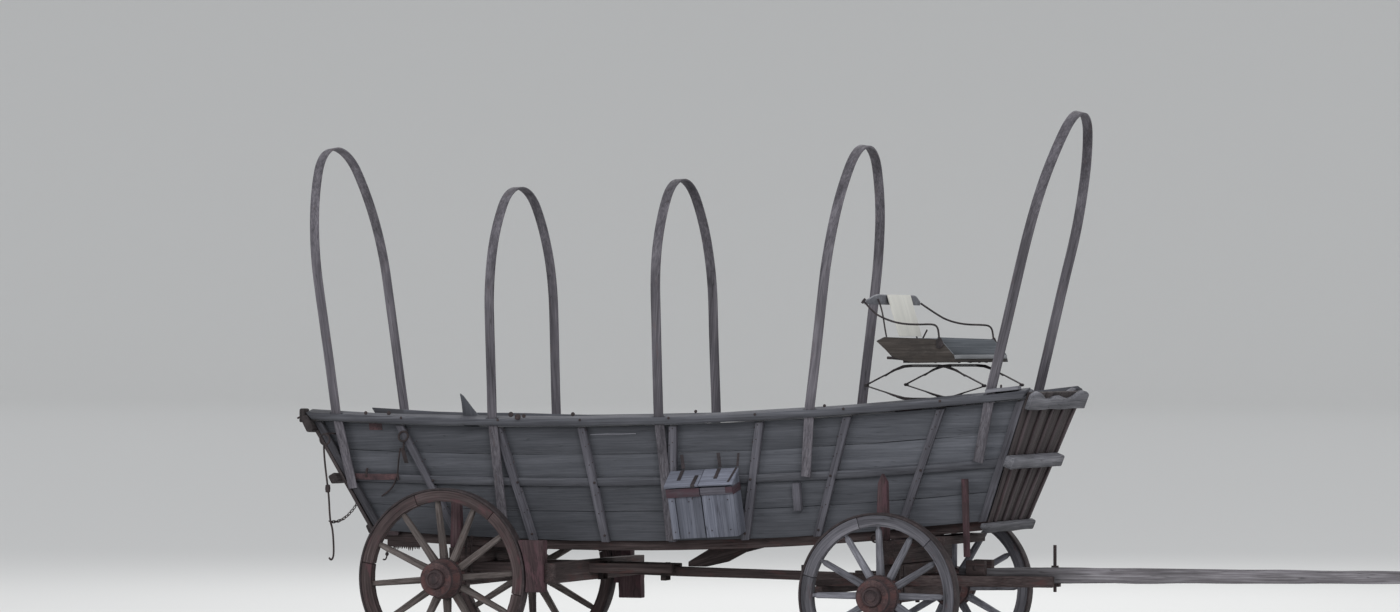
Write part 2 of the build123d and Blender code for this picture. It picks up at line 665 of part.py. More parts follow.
def rod(points, radius):
    """A bent eight-sided rod: straight runs joined by arcs, as wide as the runs allow."""
    runs = [Vector(*b) - Vector(*a) for a, b in zip(points, points[1:])]
    radii = []
    for one, two in zip(runs, runs[1:]):
        turn = radians(one.get_angle(two))
        radii.append(0.45 * min(one.length, two.length) / tan(turn / 2))
    path = FilletPolyline(*points, radius=radii)
    start = Plane(origin=points[0], z_dir=runs[0])
    return sweep(start * RegularPolygon(radius, 8), path=path)


arms = []
for y in (-SEAT_HALF - 8, SEAT_HALF + 8):
    arm_route = [
        (104, y, 2690), (153, y, 2600), (258, y, 2540), (356, y, 2512),
        (575, y, 2508), (618, y, 2478), (629, y, 2390),
    ]
    arms.append(rod(arm_route, 6))
save("seat_arms", *arms)

# Elliptic springs with straight arms, and the plank they stand on.
SPRING_Y = 430
SPRING_X = 366
SPRING_HALF = 345
SPRING_MID = 2074
EYE_LIFT = 25
LEAF = 9
LEAF_R = 160
LEAF_WIDTH = 44


def leaf(share, low, y, rise, way):
    """A leaf whose lower face is low above the main leaf's; share is its part of the length."""
    slope = atan(rise / SPRING_HALF)
    hub = rise - LEAF_R / cos(slope)
    edges = []
    for grow in (low, low + LEAF):
        turn_r = LEAF_R + grow
        tip_x = SPRING_HALF * share
        tip_z = (SPRING_HALF - tip_x) * tan(slope) + grow / cos(slope)
        bend = (turn_r * sin(slope), hub + turn_r * cos(slope))
        points = [(-tip_x, tip_z), (-bend[0], bend[1]), (0, hub + turn_r), bend, (tip_x, tip_z)]
        foot = SPRING_MID + way * EYE_LIFT
        edges.append([(SPRING_X + x, y - LEAF_WIDTH / 2, foot + way * z) for x, z in points])
    inner, outer = edges
    face = make_face([
        Line(inner[0], inner[1]), ThreePointArc(*inner[1:4]), Line(inner[3], inner[4]),
        Line(inner[4], outer[4]), Line(outer[4], outer[3]), ThreePointArc(*reversed(outer[1:4])),
        Line(outer[1], outer[0]), Line(outer[0], inner[0]),
    ])
    return extrude(face, amount=LEAF_WIDTH, dir=(0, 1, 0))


# Packs: rows are which way they bulge, and the rise of the main leaf's inner face.
SPRING_PACKS = [(1, 118), (-1, 66)]
LEAVES = [(1, 0), (0.66, LEAF), (0.38, 2 * LEAF)]
springs = []
spring_ends = {}
for y in (-SPRING_Y, SPRING_Y):
    spring = None
    for x in (SPRING_X - SPRING_HALF, SPRING_X + SPRING_HALF):
        eye = block(
            x - 9, x + 9, y - LEAF_WIDTH / 2, y + LEAF_WIDTH / 2,
            SPRING_MID - EYE_LIFT - 8, SPRING_MID + EYE_LIFT + 8)
        spring = eye if spring is None else spring + eye
    for way, rise in SPRING_PACKS:
        for share, low in LEAVES:
            spring = spring + leaf(share, low, y, rise, way)
        crown = rise - LEAF_R / cos(atan(rise / SPRING_HALF)) + LEAF_R + 3 * LEAF
        spring_ends[way] = SPRING_MID + way * (EYE_LIFT + crown)
    springs.append(spring)
save("seat_springs", *springs)
saddles = []
for y in (-SPRING_Y, SPRING_Y):
    saddles.append(block(
        SPRING_X - 60, SPRING_X + 60, y - 30, y + 30, spring_ends[1] + 0.5, SEAT_FLOOR + 21.5))
save("seat_saddles", *saddles)
plank_top = spring_ends[-1] - 0.5
plank_low = plank_top - 36
plank_half = side_y(plank_low, -RAIL_IN) - 3
plank_x0 = SPRING_X - 80
plank_x1 = SPRING_X + 80
save("seat_plank", block(plank_x0, plank_x1, -plank_half, plank_half, plank_low, plank_top))

# Cleats inside the sides that the plank rests on.
cleat_y = SIDE_Y - RAIL_IN - 0.5
cleat_top = plank_low - 16
cleat = flared(block(plank_x0 - 20, plank_x1 + 20, cleat_y - 34, cleat_y, cleat_top - 70, cleat_top))
save("seat_cleats", cleat, mirrored(cleat))
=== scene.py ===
import bpy
import math
import random
import numpy as np
from mathutils import Matrix, Vector, noise


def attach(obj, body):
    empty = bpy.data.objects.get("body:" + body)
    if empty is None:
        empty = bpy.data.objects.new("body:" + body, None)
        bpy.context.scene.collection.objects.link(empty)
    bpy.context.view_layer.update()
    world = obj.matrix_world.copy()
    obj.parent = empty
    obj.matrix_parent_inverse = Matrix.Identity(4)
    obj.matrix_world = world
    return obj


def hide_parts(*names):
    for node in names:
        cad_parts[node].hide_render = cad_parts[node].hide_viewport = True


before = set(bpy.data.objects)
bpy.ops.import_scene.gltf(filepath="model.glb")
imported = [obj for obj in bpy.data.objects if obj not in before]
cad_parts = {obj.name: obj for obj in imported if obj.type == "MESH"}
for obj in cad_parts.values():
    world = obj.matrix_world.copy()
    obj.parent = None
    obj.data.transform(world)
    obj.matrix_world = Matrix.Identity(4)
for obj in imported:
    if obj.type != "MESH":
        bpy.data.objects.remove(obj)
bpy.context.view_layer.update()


# Viewpoint: the wagon is looked at from its front right, almost level, through a long lens.
# Place, turn and lens were solved from the wheels and the bed as the photo shows them.
camera_data = bpy.data.cameras.new("camera")
camera_data.lens = 135.49
camera_data.sensor_width = 36
camera_data.clip_end = 400
camera = bpy.data.objects.new("camera", camera_data)
camera.location = (12.7425, -35.8768, 2.357)
camera.rotation_euler = (math.radians(90.433), 0, math.radians(21.554))
bpy.context.scene.collection.objects.link(camera)
bpy.context.scene.camera = camera
bpy.context.scene.view_settings.view_transform = "Standard"


# Studio: a pale floor that curves up into a pale wall, with three soft lamps and an even sky.
# The wall stands far behind, so that the wagon can be looked at from all round.
def linear(code):
    """An sRGB hex colour as the linear numbers that a shader takes."""
    parts = [int(code[i:i + 2], 16) / 255 for i in (1, 3, 5)]
    return [c / 12.92 if c <= 0.04045 else ((c + 0.055) / 1.055) ** 2.4 for c in parts] + [1]


def node(tree, kind, settings=(), **links):
    """Adds one node; settings name its properties or sockets, links name its inputs."""
    made = tree.nodes.new(kind)
    for key, value in dict(settings).items():
        if isinstance(key, int) or key in made.inputs:
            made.inputs[key].default_value = value
        else:
            setattr(made, key, value)
    for key, source in links.items():
        socket = made.inputs[int(key[1:])] if key[1:].isdigit() else made.inputs[key.replace("_", " ")]
        tree.links.new(source, socket)
    return made


def drawn_out(way):
    """Extrudes what is selected in edit mode along a way."""
    bpy.ops.mesh.extrude_region_move(TRANSFORM_OT_translate={"value": way})


FLOOR_HALF = 160
CURVE_STEPS = 8
CURVE_RISE = 6
WALL_HEIGHT = 40
bpy.ops.object.select_all(action="DESELECT")
bpy.ops.mesh.primitive_plane_add(size=2, location=(0, 0, 0))
floor = bpy.context.object
floor.name = "studio_floor"
bpy.ops.transform.resize(value=(FLOOR_HALF, FLOOR_HALF, 1))
bpy.ops.object.transform_apply(location=True, rotation=True, scale=True)
bpy.ops.object.mode_set(mode="EDIT")
bpy.ops.mesh.select_all(action="DESELECT")
bpy.ops.object.mode_set(mode="OBJECT")
for edge in floor.data.edges:
    edge.select = all(floor.data.vertices[v].co.y > FLOOR_HALF - 1 for v in edge.vertices)
bpy.ops.object.mode_set(mode="EDIT")
for step in range(CURVE_STEPS):
    lift = math.radians(90 * (step + 0.5) / CURVE_STEPS)
    drawn_out((0, CURVE_RISE * math.cos(lift), CURVE_RISE * math.sin(lift)))
drawn_out((0, 0, WALL_HEIGHT))
bpy.ops.object.mode_set(mode="OBJECT")
bpy.ops.object.shade_smooth()
# Matte pale paper, which shows soft shadows and no shine.
paper = bpy.data.materials.new("matte_pale_paper")
paper.use_nodes = True
paper.node_tree.nodes["Principled BSDF"].inputs["Base Color"].default_value = linear("#dddddb")
paper.node_tree.nodes["Principled BSDF"].inputs["Roughness"].default_value = 0.9
floor.data.materials.append(paper)

world = bpy.data.worlds.new("even_sky")
bpy.context.scene.world = world
world.use_nodes = True
sky = world.node_tree
sky.nodes.clear()
ray = node(sky, "ShaderNodeLightPath")
seen = node(sky, "ShaderNodeMath", {"operation": "MAXIMUM"},
            _0=ray.outputs["Is Camera Ray"], _1=ray.outputs["Is Glossy Ray"])
soft = node(sky, "ShaderNodeBackground", {"Color": linear("#f4f6fa"), "Strength": 0.72})
bright = node(sky, "ShaderNodeBackground", {"Color": linear("#eeeeee"), "Strength": 0.95})
both = node(sky, "ShaderNodeMixShader", (), _0=seen.outputs[0], _1=soft.outputs[0], _2=bright.outputs[0])
node(sky, "ShaderNodeOutputWorld", (), Surface=both.outputs[0])


# Lamps: a strong one high at the front right, a weak one at the rear right and one from behind.
# All are square soft boxes aimed at the middle of the bed. Rows are name, place and power.
LAMP_SIZE = 9
AIM = Vector((0, 0, 1.5))
for name, place, power in (
        ("key", (12, -18, 13), 2000), ("fill", (-14, -14, 7), 700), ("rim", (-4, 12, 12), 900)):
    lamp_data = bpy.data.lights.new(name, "AREA")
    lamp_data.size = LAMP_SIZE
    lamp_data.energy = power
    lamp = bpy.data.objects.new(name, lamp_data)
    lamp.location = place
    lamp.rotation_euler = (AIM - Vector(place)).to_track_quat("-Z", "Y").to_euler()
    bpy.context.scene.collection.objects.link(lamp)


# Wheels: turned elm hubs banded with iron, twelve ash spokes tapered from the hub to the rim,
# and six sawn felloes held together by a shrunk iron tyre. Traces of old red paint are left.
def timber(name, dark, middle, pale, paint=None, share=0.3, contrast=0.8, stained=0.22, cracked_by=0.5):
    """Bare timber grown grey in the weather: raised grain, darker bands, drying cracks and
    stains that dull it, sometimes with flakes of old paint. The grain is drawn 10 mm wide,
    coarser than real, so that it shows. It follows the piece's own attribute, x along it."""
    made = bpy.data.materials.new(name)
    made.use_nodes = True
    tree = made.node_tree
    tree.nodes.clear()
    place = node(tree, "ShaderNodeAttribute", {"attribute_name": "grain"}).outputs["Vector"]
    tone = node(tree, "ShaderNodeAttribute", {"attribute_name": "tone"}).outputs["Fac"]
    # Each pattern's length and width in metres, its detail and its roughness.
    patterns = {"grain": (0.32, 0.010, 5, 0.62), "bands": (1.3, 0.05, 3, 0.5),
                "stains": (0.5, 0.2, 4, 0.6), "splits": (1.1, 0.035, 2, 0.4)}
    if paint:
        patterns["flakes"] = (0.2, 0.06, 6, 0.7)
    drawn = {}
    for pattern, (length, width, detail, coarse) in patterns.items():
        size = (length, width, width)
        stretched = node(tree, "ShaderNodeMapping", {"vector_type": "TEXTURE", "Scale": size}, Vector=place)
        cloud = node(tree, "ShaderNodeTexNoise", {"Scale": 1, "Detail": detail, "Roughness": coarse},
                     Vector=stretched.outputs[0])
        drawn[pattern] = cloud.outputs["Fac"]
    broad = node(tree, "ShaderNodeMath", {"operation": "MULTIPLY", 1: 0.45}, _0=drawn["bands"])
    mixed = node(tree, "ShaderNodeMath", {"operation": "MULTIPLY_ADD", 1: 0.55},
                 _0=drawn["grain"], _2=broad.outputs[0])
    tones = node(tree, "ShaderNodeValToRGB", (), Fac=mixed.outputs[0])
    ramp = tones.color_ramp
    ramp.elements[0].position = 0.5 - 0.13 / contrast
    ramp.elements[0].color = linear(dark)
    ramp.elements[1].position = 0.5 + 0.16 / contrast
    ramp.elements[1].color = linear(pale)
    ramp.elements.new(0.505).color = linear(middle)
    stain = node(tree, "ShaderNodeMapRange",
                 {"From Min": 0.36, "From Max": 0.64, "To Min": 1 - stained, "To Max": 1 + stained * 0.5},
                 Value=drawn["stains"])
    gap = node(tree, "ShaderNodeMath", {"operation": "SUBTRACT", 1: 0.5}, _0=drawn["splits"])
    away = node(tree, "ShaderNodeMath", {"operation": "ABSOLUTE"}, _0=gap.outputs[0])
    split = node(tree, "ShaderNodeMapRange",
                 {"From Min": 0.002, "From Max": 0.010, "To Min": 1 - cracked_by, "To Max": 1.0},
                 Value=away.outputs[0])
    colour = tones.outputs["Color"]
    for light in (stain.outputs["Result"], tone, split.outputs["Result"]):
        scaled = node(tree, "ShaderNodeVectorMath", {"operation": "SCALE"}, _0=colour, _3=light)
        colour = scaled.outputs[0]
    if paint:
        kept = node(tree, "ShaderNodeMapRange",
                    {"From Min": 0.62 - share * 0.3, "From Max": 0.72 - share * 0.3, "To Max": 0.75},
                    Value=drawn["flakes"])
        painted = node(tree, "ShaderNodeMix", {"data_type": "RGBA", 7: linear(paint)},
                       _0=kept.outputs["Result"], _6=colour)
        colour = painted.outputs[2]
    height = node(tree, "ShaderNodeMath", {"operation": "MULTIPLY"},
                  _0=drawn["grain"], _1=split.outputs["Result"])
    bump = node(tree, "ShaderNodeBump", {"Strength": 0.6, "Distance": 0.004}, Height=height.outputs[0])
    rough = node(tree, "ShaderNodeMapRange",
                 {"From Min": 0.3, "From Max": 0.7, "To Min": 0.92, "To Max": 0.74}, Value=drawn["grain"])
    skin = node(tree, "ShaderNodeBsdfPrincipled", {"Specular IOR Level": 0.3},
                Base_Color=colour, Roughness=rough.outputs["Result"], Normal=bump.outputs[0])
    node(tree, "ShaderNodeOutputMaterial", (), Surface=skin.outputs[0])
    return made


def iron(name, dark, middle, pale):
    """Wrought iron under years of dry rust: dark pits 6 mm wide in a brown crust that blooms
    over hand-sized patches."""
    made = bpy.data.materials.new(name)
    made.use_nodes = True
    tree = made.node_tree
    tree.nodes.clear()
    place = node(tree, "ShaderNodeTexCoord").outputs["Object"]
    bloom = node(tree, "ShaderNodeTexNoise", {"Scale": 14, "Detail": 5, "Roughness": 0.65}, Vector=place)
    pits = node(tree, "ShaderNodeTexNoise", {"Scale": 150, "Detail": 3, "Roughness": 0.6}, Vector=place)
    fine = node(tree, "ShaderNodeMath", {"operation": "MULTIPLY", 1: 0.35}, _0=pits.outputs["Fac"])
    mixed = node(tree, "ShaderNodeMath", {"operation": "MULTIPLY_ADD", 1: 0.65},
                 _0=bloom.outputs["Fac"], _2=fine.outputs[0])
    tones = node(tree, "ShaderNodeValToRGB", (), Fac=mixed.outputs[0])
    ramp = tones.color_ramp
    ramp.elements[0].position = 0.38
    ramp.elements[0].color = linear(dark)
    ramp.elements[1].position = 0.66
    ramp.elements[1].color = linear(pale)
    ramp.elements.new(0.52).color = linear(middle)
    bump = node(tree, "ShaderNodeBump", {"Strength": 0.5, "Distance": 0.003}, Height=pits.outputs["Fac"])
    skin = node(tree, "ShaderNodeBsdfPrincipled", {"Roughness": 0.78, "Metallic": 0.25},
                Base_Color=tones.outputs["Color"], Normal=bump.outputs[0])
    node(tree, "ShaderNodeOutputMaterial", (), Surface=skin.outputs[0])
    return made


def taken(piece):
    """Selects one piece alone, to be worked on."""
    bpy.ops.object.select_all(action="DESELECT")
    piece.select_set(True)
    bpy.context.view_layer.objects.active = piece


def opened():
    """Goes into edit mode with all of the active piece selected."""
    bpy.ops.object.mode_set(mode="EDIT")
    bpy.ops.mesh.select_all(action="SELECT")


def faced_outwards():
    """Points all faces of the active piece outwards, and leaves edit mode."""
    opened()
    bpy.ops.mesh.normals_make_consistent(inside=False)
    bpy.ops.object.mode_set(mode="OBJECT")


def points_of(piece):
    """The points of a piece as rows of x, y and z."""
    return np.array([v.co for v in piece.data.vertices])


def stored(piece, lines, tones):
    """Stores where each point lies along and across the grain, and how pale it is."""
    grain = piece.data.attributes.new("grain", "FLOAT_VECTOR", "POINT")
    grain.data.foreach_set("vector", lines.astype(np.float32).ravel())
    shade = piece.data.attributes.new("tone", "FLOAT", "POINT")
    shade.data.foreach_set("value", np.full(len(lines), tones, np.float32))


def grained(piece, along, seed, tone=1.0):
    """Gives a straight piece its grain, which runs the way that along says."""
    along = Vector(along).normalized()
    across = along.orthogonal().normalized()
    axes = np.array([along, across, along.cross(across)])
    points = points_of(piece)
    rng = random.Random(seed)
    lines = points @ axes.T + [rng.uniform(0, 40) for _ in range(3)]
    stored(piece, lines, tone * rng.uniform(0.88, 1.12))


SMOOTH_BELOW = math.radians(35)


def eased(piece, width, segments=2, angle=40):
    """Rounds a piece's sharp edges, as a spokeshave or long wear does."""
    taken(piece)
    ease = piece.modifiers.new("ease", "BEVEL")
    ease.width = width
    ease.segments = segments
    ease.angle_limit = math.radians(angle)
    ease.use_clamp_overlap = False
    bpy.ops.object.modifier_apply(modifier="ease")
    bpy.ops.object.shade_smooth_by_angle(angle=SMOOTH_BELOW)


def copied(piece, name, move):
    """A copy with a mesh of its own, moved by a matrix within that mesh."""
    made = piece.copy()
    made.data = piece.data.copy()
    made.name = name
    made.data.transform(move)
    bpy.context.scene.collection.objects.link(made)
    return made


def joined(name, pieces):
    """Joins pieces into one."""
    taken(pieces[0])
    for piece in pieces:
        piece.select_set(True)
    bpy.ops.object.join()
    made = bpy.context.object
    made.name = name
    made.data.name = name
    return made


def fitted(piece, body, finish, slot, *nodes):
    """Gives a piece its finish and its place on the wagon."""
    piece.data.materials.clear()
    piece.data.materials.append(finish)
    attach(piece, body)
    if nodes:
        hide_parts(*nodes)
    return piece


WELD = 0.00002


def dressed(name, finish, angle=None):
    """Gives a node that stays its finish and, where an angle is given, rounded edges."""
    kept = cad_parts[name]
    kept.data.materials.clear()
    kept.data.materials.append(finish)
    if angle:
        weld = kept.modifiers.new("weld", "WELD")
        weld.merge_threshold = WELD
        ease = kept.modifiers.new("ease", "BEVEL")
        ease.width = 0.004
        ease.segments = 2
        ease.angle_limit = math.radians(angle)


def turned(name, rows, sides=40):
    """Turns a piece round the Y axis; rows are place along it and radius, from end to end."""
    bpy.ops.object.select_all(action="DESELECT")
    bpy.ops.mesh.primitive_circle_add(
        vertices=sides, radius=rows[0][1], fill_type="NGON", location=(0, rows[0][0], 0),
        rotation=(math.pi / 2, 0, 0))
    bpy.ops.object.transform_apply(location=True, rotation=True, scale=True)
    made = bpy.context.object
    made.name = name
    opened()
    for (y0, r0), (y1, r1) in zip(rows, rows[1:]):
        drawn_out((0, y1 - y0, 0))
        bpy.ops.transform.resize(value=(r1 / r0, 1, r1 / r0), center_override=(0, y1, 0))
    faced_outwards()
    bpy.ops.object.shade_smooth_by_angle(angle=SMOOTH_BELOW)
    return made


def box(name, size, place):
    """A sawn block, ready to be shaped."""
    bpy.ops.object.select_all(action="DESELECT")
    bpy.ops.mesh.primitive_cube_add(size=1, location=place)
    made = bpy.context.object
    made.name = name
    made.scale = size
    bpy.ops.object.transform_apply(location=True, rotation=True, scale=True)
    return made


def cut(piece, places, normal):
    """Cuts edges right across a piece at the places given."""
    taken(piece)
    bpy.ops.object.mode_set(mode="EDIT")
    for place in places:
        bpy.ops.mesh.select_all(action="SELECT")
        bpy.ops.mesh.bisect(plane_co=place, plane_no=normal)
    bpy.ops.object.mode_set(mode="OBJECT")


def thinned(piece, height, reach, grow):
    """Resizes a piece across, at the points within reach of a height."""
    taken(piece)
    bpy.ops.object.mode_set(mode="EDIT")
    bpy.ops.mesh.select_mode(type="VERT")
    bpy.ops.mesh.select_all(action="DESELECT")
    bpy.ops.object.mode_set(mode="OBJECT")
    for vertex in piece.data.vertices:
        vertex.select = abs(vertex.co.z - height) < reach
    bpy.ops.object.mode_set(mode="EDIT")
    bpy.ops.transform.resize(value=grow, center_override=(0, 0, 0))
    bpy.ops.object.mode_set(mode="OBJECT")


HUB_Y = 0.79
DISH = 0.045
SPOKES = 12
SPOKE_WIDTH = 0.05
SPOKE_DEPTH = 0.062
SPOKE_ROOT = 0.13
SPOKE_TENON = 0.02
FELLOES = 6
FELLOE_DEPTH = 0.08
FELLOE_HALF = 0.041
FELLOE_GAP = 0.0018
TYRE = 0.0162
PARKED_TURN = math.radians(4.5)
# Elm gone red-brown with much of its old paint left, which gives each wheel a warm middle.
hub_timber = timber("red_brown_hub_elm", "#33282a", "#4a3a3b", "#64514f", paint="#563b3a", share=0.5)
# Ash, brown and red-tinged on the rear wheels, bleached to a blue grey on the front ones.
rim_finishes = {
    "rear": (timber("grey_brown_spoke_ash", "#37312f", "#57504e", "#7c7572", paint="#553c38", share=0.14),
             timber("red_brown_felloe_ash", "#2b2425", "#453a3a", "#65595a", paint="#50363a", share=0.3)),
    "front": (timber("blue_grey_spoke_ash", "#434348", "#68686f", "#8b8b92"),
              timber("grey_felloe_ash", "#37373b", "#55545a", "#77767c", paint="#4d3c3f", share=0.15))}
# Rolled tyre iron, near black between its rust blooms, and the browner bands of the hubs.
tyre_iron = iron("rusty_tyre_iron", "#221d1f", "#342c2e", "#4b4142")
band_iron = iron("rusty_band_iron", "#2a2224", "#403335", "#574645")
hub = turned("hub", [
    (-0.146, 0.098), (-0.145, 0.104), (-0.118, 0.107), (-0.085, 0.118), (-0.055, 0.134), (-0.04, 0.142),
    (0.036, 0.146), (0.05, 0.145), (0.08, 0.138), (0.12, 0.128), (0.16, 0.122), (0.181, 0.119),
    (0.184, 0.114), (0.184, 0.074), (0.178, 0.070)])
grained(hub, (0, 1, 0), 3)
bands = []
for y0, y1, inner, outer in (
        (-0.147, -0.120, 0.106, 0.1105), (-0.052, -0.032, 0.139, 0.1475), (0.04, 0.062, 0.143, 0.1505),
        (0.150, 0.179, 0.121, 0.1265)):
    bands.append(turned("band", [(y0, inner), (y0, outer), (y1, outer - 0.002), (y1, inner)]))
bands.append(turned("cap", [
    (0.178, 0.069), (0.210, 0.066), (0.214, 0.062), (0.2145, 0.052), (0.206, 0.050), (0.206, 0.036),
    (0.2125, 0.030), (0.214, 0.012)]))
hub_irons = joined("hub_irons", bands)
for which, axle_x, radius in (("rear", -3.11, 0.66), ("front", 0.255, 0.59)):
    rim_outer = radius - TYRE
    rim_inner = rim_outer - FELLOE_DEPTH
    spoke_end = rim_inner + SPOKE_TENON
    span = rim_inner - SPOKE_ROOT
    spoke = box("spoke", (SPOKE_WIDTH, SPOKE_DEPTH, spoke_end - SPOKE_ROOT),
                (0, 0, (spoke_end + SPOKE_ROOT) / 2))
    cut(spoke, [(0, 0, SPOKE_ROOT + span * part) for part in (0.1, 0.22, 0.45, 0.7, 0.9, 0.97)], (0, 0, 1))
    # Rows are the part of the way to the rim, and how much of its width and depth a spoke keeps.
    for part, wide, deep in (
            (0.22, 0.96, 0.86), (0.45, 0.92, 0.74), (0.7, 0.86, 0.66), (0.9, 0.84, 0.62),
            (0.97, 0.76, 0.54), (1.05, 0.72, 0.5)):
        height = SPOKE_ROOT + span * part
        thinned(spoke, height, 0.032 if height > rim_inner else 0.012, (wide, deep, 1))
    for vertex in spoke.data.vertices:
        vertex.co.y += DISH * max(0, (vertex.co.z - SPOKE_ROOT) / span)
    eased(spoke, 0.010, segments=3, angle=50)
    felloe_turn = 2 * math.pi / FELLOES
    gap = FELLOE_GAP / rim_outer
    bpy.ops.object.select_all(action="DESELECT")
    bpy.ops.mesh.primitive_plane_add(
        size=1, location=(0, DISH, (rim_inner + rim_outer) / 2), rotation=(0, math.pi / 2, 0))
    felloe = bpy.context.object
    felloe.scale = (FELLOE_DEPTH, 2 * FELLOE_HALF, 1)
    bpy.ops.object.transform_apply(location=True, rotation=True, scale=True)
    opened()
    bpy.ops.mesh.spin(steps=10, angle=felloe_turn - 2 * gap, center=(0, 0, 0), axis=(0, 1, 0))
    bpy.ops.mesh.select_all(action="SELECT")
    bpy.ops.mesh.remove_doubles(threshold=WELD)
    faced_outwards()
    eased(felloe, 0.006, segments=2, angle=50)
    for side, hub_y, half_turn in (("left", HUB_Y, 0), ("right", -HUB_Y, math.pi)):
        wheel = which + "_" + side + "_wheel"
        place = Matrix.Translation((axle_x, hub_y, radius)) @ Matrix.Rotation(half_turn, 4, "Z")
        rng = random.Random(wheel)
        parked = PARKED_TURN if wheel == "rear_right_wheel" else 0
        spoke_timber, felloe_timber = rim_finishes[which]
        fitted(copied(hub, wheel + "_turned_hub", place), wheel, hub_timber, "wheel_wood", wheel + "_hub")
        fitted(copied(hub_irons, wheel + "_hub_irons", place), wheel, band_iron, "rusty_iron")
        spokes = []
        for i in range(SPOKES):
            turn = Matrix.Rotation(2 * math.pi * i / SPOKES + parked, 4, "Y")
            blade = copied(spoke, "spoke", Matrix.Identity(4))
            grained(blade, (0, 0, 1), wheel + str(i), rng.uniform(0.85, 1.15))
            blade.data.transform(place @ turn)
            spokes.append(blade)
        felloes = []
        for i in range(FELLOES):
            turn = Matrix.Rotation(felloe_turn * (i + 0.25) + gap + parked, 4, "Y")
            sawn = copied(felloe, "felloe", Matrix.Identity(4))
            points = points_of(sawn)
            angle = np.arctan2(points[:, 0], points[:, 2])
            lines = np.stack([angle * radius, points[:, 1], np.hypot(points[:, 0], points[:, 2])], 1)
            stored(sawn, lines + rng.uniform(0, 40), rng.uniform(0.75, 1.2))
            sawn.data.transform(place @ turn)
            felloes.append(sawn)
        fitted(joined(wheel + "_tapered_spokes", spokes), wheel, spoke_timber, "wheel_wood",
               wheel + "_spokes")
        fitted(joined(wheel + "_felloes", felloes), wheel, felloe_timber, "wheel_wood")
        dressed(wheel + "_tyre", tyre_iron, 50)
    bpy.data.objects.remove(spoke)
    bpy.data.objects.remove(felloe)
bpy.data.objects.remove(hub)
bpy.data.objects.remove(hub_irons)


# Running gear: two oak axles with hounds to each side of them, a reach between them, and the
# bolsters that carry the bed. Axed and sawn timbers, bolted and strapped, once painted red.
def solids_of(name, node_name):
    """The solids of a CAD node, each a piece of its own, without seams across its flat faces."""
    start = bpy.data.objects.new(name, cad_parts[node_name].data.copy())
    bpy.context.scene.collection.objects.link(start)
    taken(start)
    opened()
    bpy.ops.mesh.remove_doubles(threshold=WELD)
    bpy.ops.mesh.dissolve_limited(angle_limit=math.radians(0.05))
    bpy.ops.mesh.separate(type="LOOSE")
    bpy.ops.object.mode_set(mode="OBJECT")
    return sorted(bpy.context.selected_objects, key=lambda o: o.name)


def old_timber(name, node_name, body, finish, slot, step=0.3, wander=0.003, edge=0.004, tone=1.0):
    """Timbers copied from a CAD node and aged. Each solid is cut across its length every step,
    its edges wander by a few millimetres and are rounded, and it keeps its own grain."""
    timbers = solids_of(name, node_name)
    for i, piece in enumerate(timbers):
        rng = random.Random(name + str(i))
        points = points_of(piece)
        middle = points.mean(axis=0)
        axes = np.linalg.svd(points - middle)[2]
        if axes[0][np.argmax(abs(axes[0]))] < 0:
            axes[0] *= -1
        along = (points - middle) @ axes[0]
        low = along.min()
        high = along.max()
        count = max(2, round((high - low) / step))
        cut(piece, [middle + axes[0] * (low + (high - low) * k / count) for k in range(1, count)], axes[0])
        points = points_of(piece)
        local = (points - middle) @ axes.T
        shifts = np.zeros_like(local)
        for k, (far, wide, deep) in enumerate(local):
            corner = 5 * np.sign(wide) + 9 * np.sign(deep)
            for row, reach in ((1, 1.0), (2, 0.5)):
                way = Vector((far / (step * 2.2) + 31 * i, corner, 13 * row))
                shifts[k, row] = wander * reach * noise.noise(way)
        piece.data.vertices.foreach_set("co", (points + shifts @ axes).astype(np.float32).ravel())
        lines = local + [rng.uniform(0, 40) for _ in range(3)]
        worn = np.where((local[:, 0] < low + 0.002) | (local[:, 0] > high - 0.002), 0.8, 1.0)
        stored(piece, lines, tone * rng.uniform(0.88, 1.12) * worn)
        piece.data.materials.clear()
        eased(piece, edge)
    return fitted(joined(name, timbers), body, finish, slot, node_name)


def with_tones(piece):
    """Each point of a piece with its tone."""
    return zip(piece.data.vertices, piece.data.attributes["tone"].data)


def share_of_way(value, start, length):
    """How much of the way from start a value has gone, from none to all of it."""
    return min(1, max(0, (value - start) / length))


# Dark red-brown oak with flakes of old red paint, which lets the pale bed stand out above it.
gear_timber = timber("red_brown_gear_oak", "#2b2424", "#413737", "#5e5352", paint="#4b3433", share=0.25)
# The tongue's ash, bare and bleached: a pale beam that leads out of the dark gear.
pale_gear_timber = timber("grey_tongue_ash", "#3d3a3b", "#656266", "#8f8d91")
# Straps, bolts and pins of wrought iron, near black with brown rust.
gear_iron = iron("rusty_strap_iron", "#211c1d", "#332a2b", "#483c3b")
# Oak that kept much of its dark red paint, so that stakes and brake blocks look warm.
red_timber = timber("dark_red_stake_oak", "#33272a", "#48383b", "#5e4c4f", paint="#523a40", share=0.45)
old_timber("rear_axle_timber", "rear_axle", "bed", gear_timber, "gear_wood")
old_timber("bolster_timbers", "bolsters", "bed", gear_timber, "gear_wood")
bolster_stakes = old_timber("bolster_stake_timbers", "bolster_stakes", "bed", red_timber, "gear_wood",
                            step=0.15, edge=0.006)
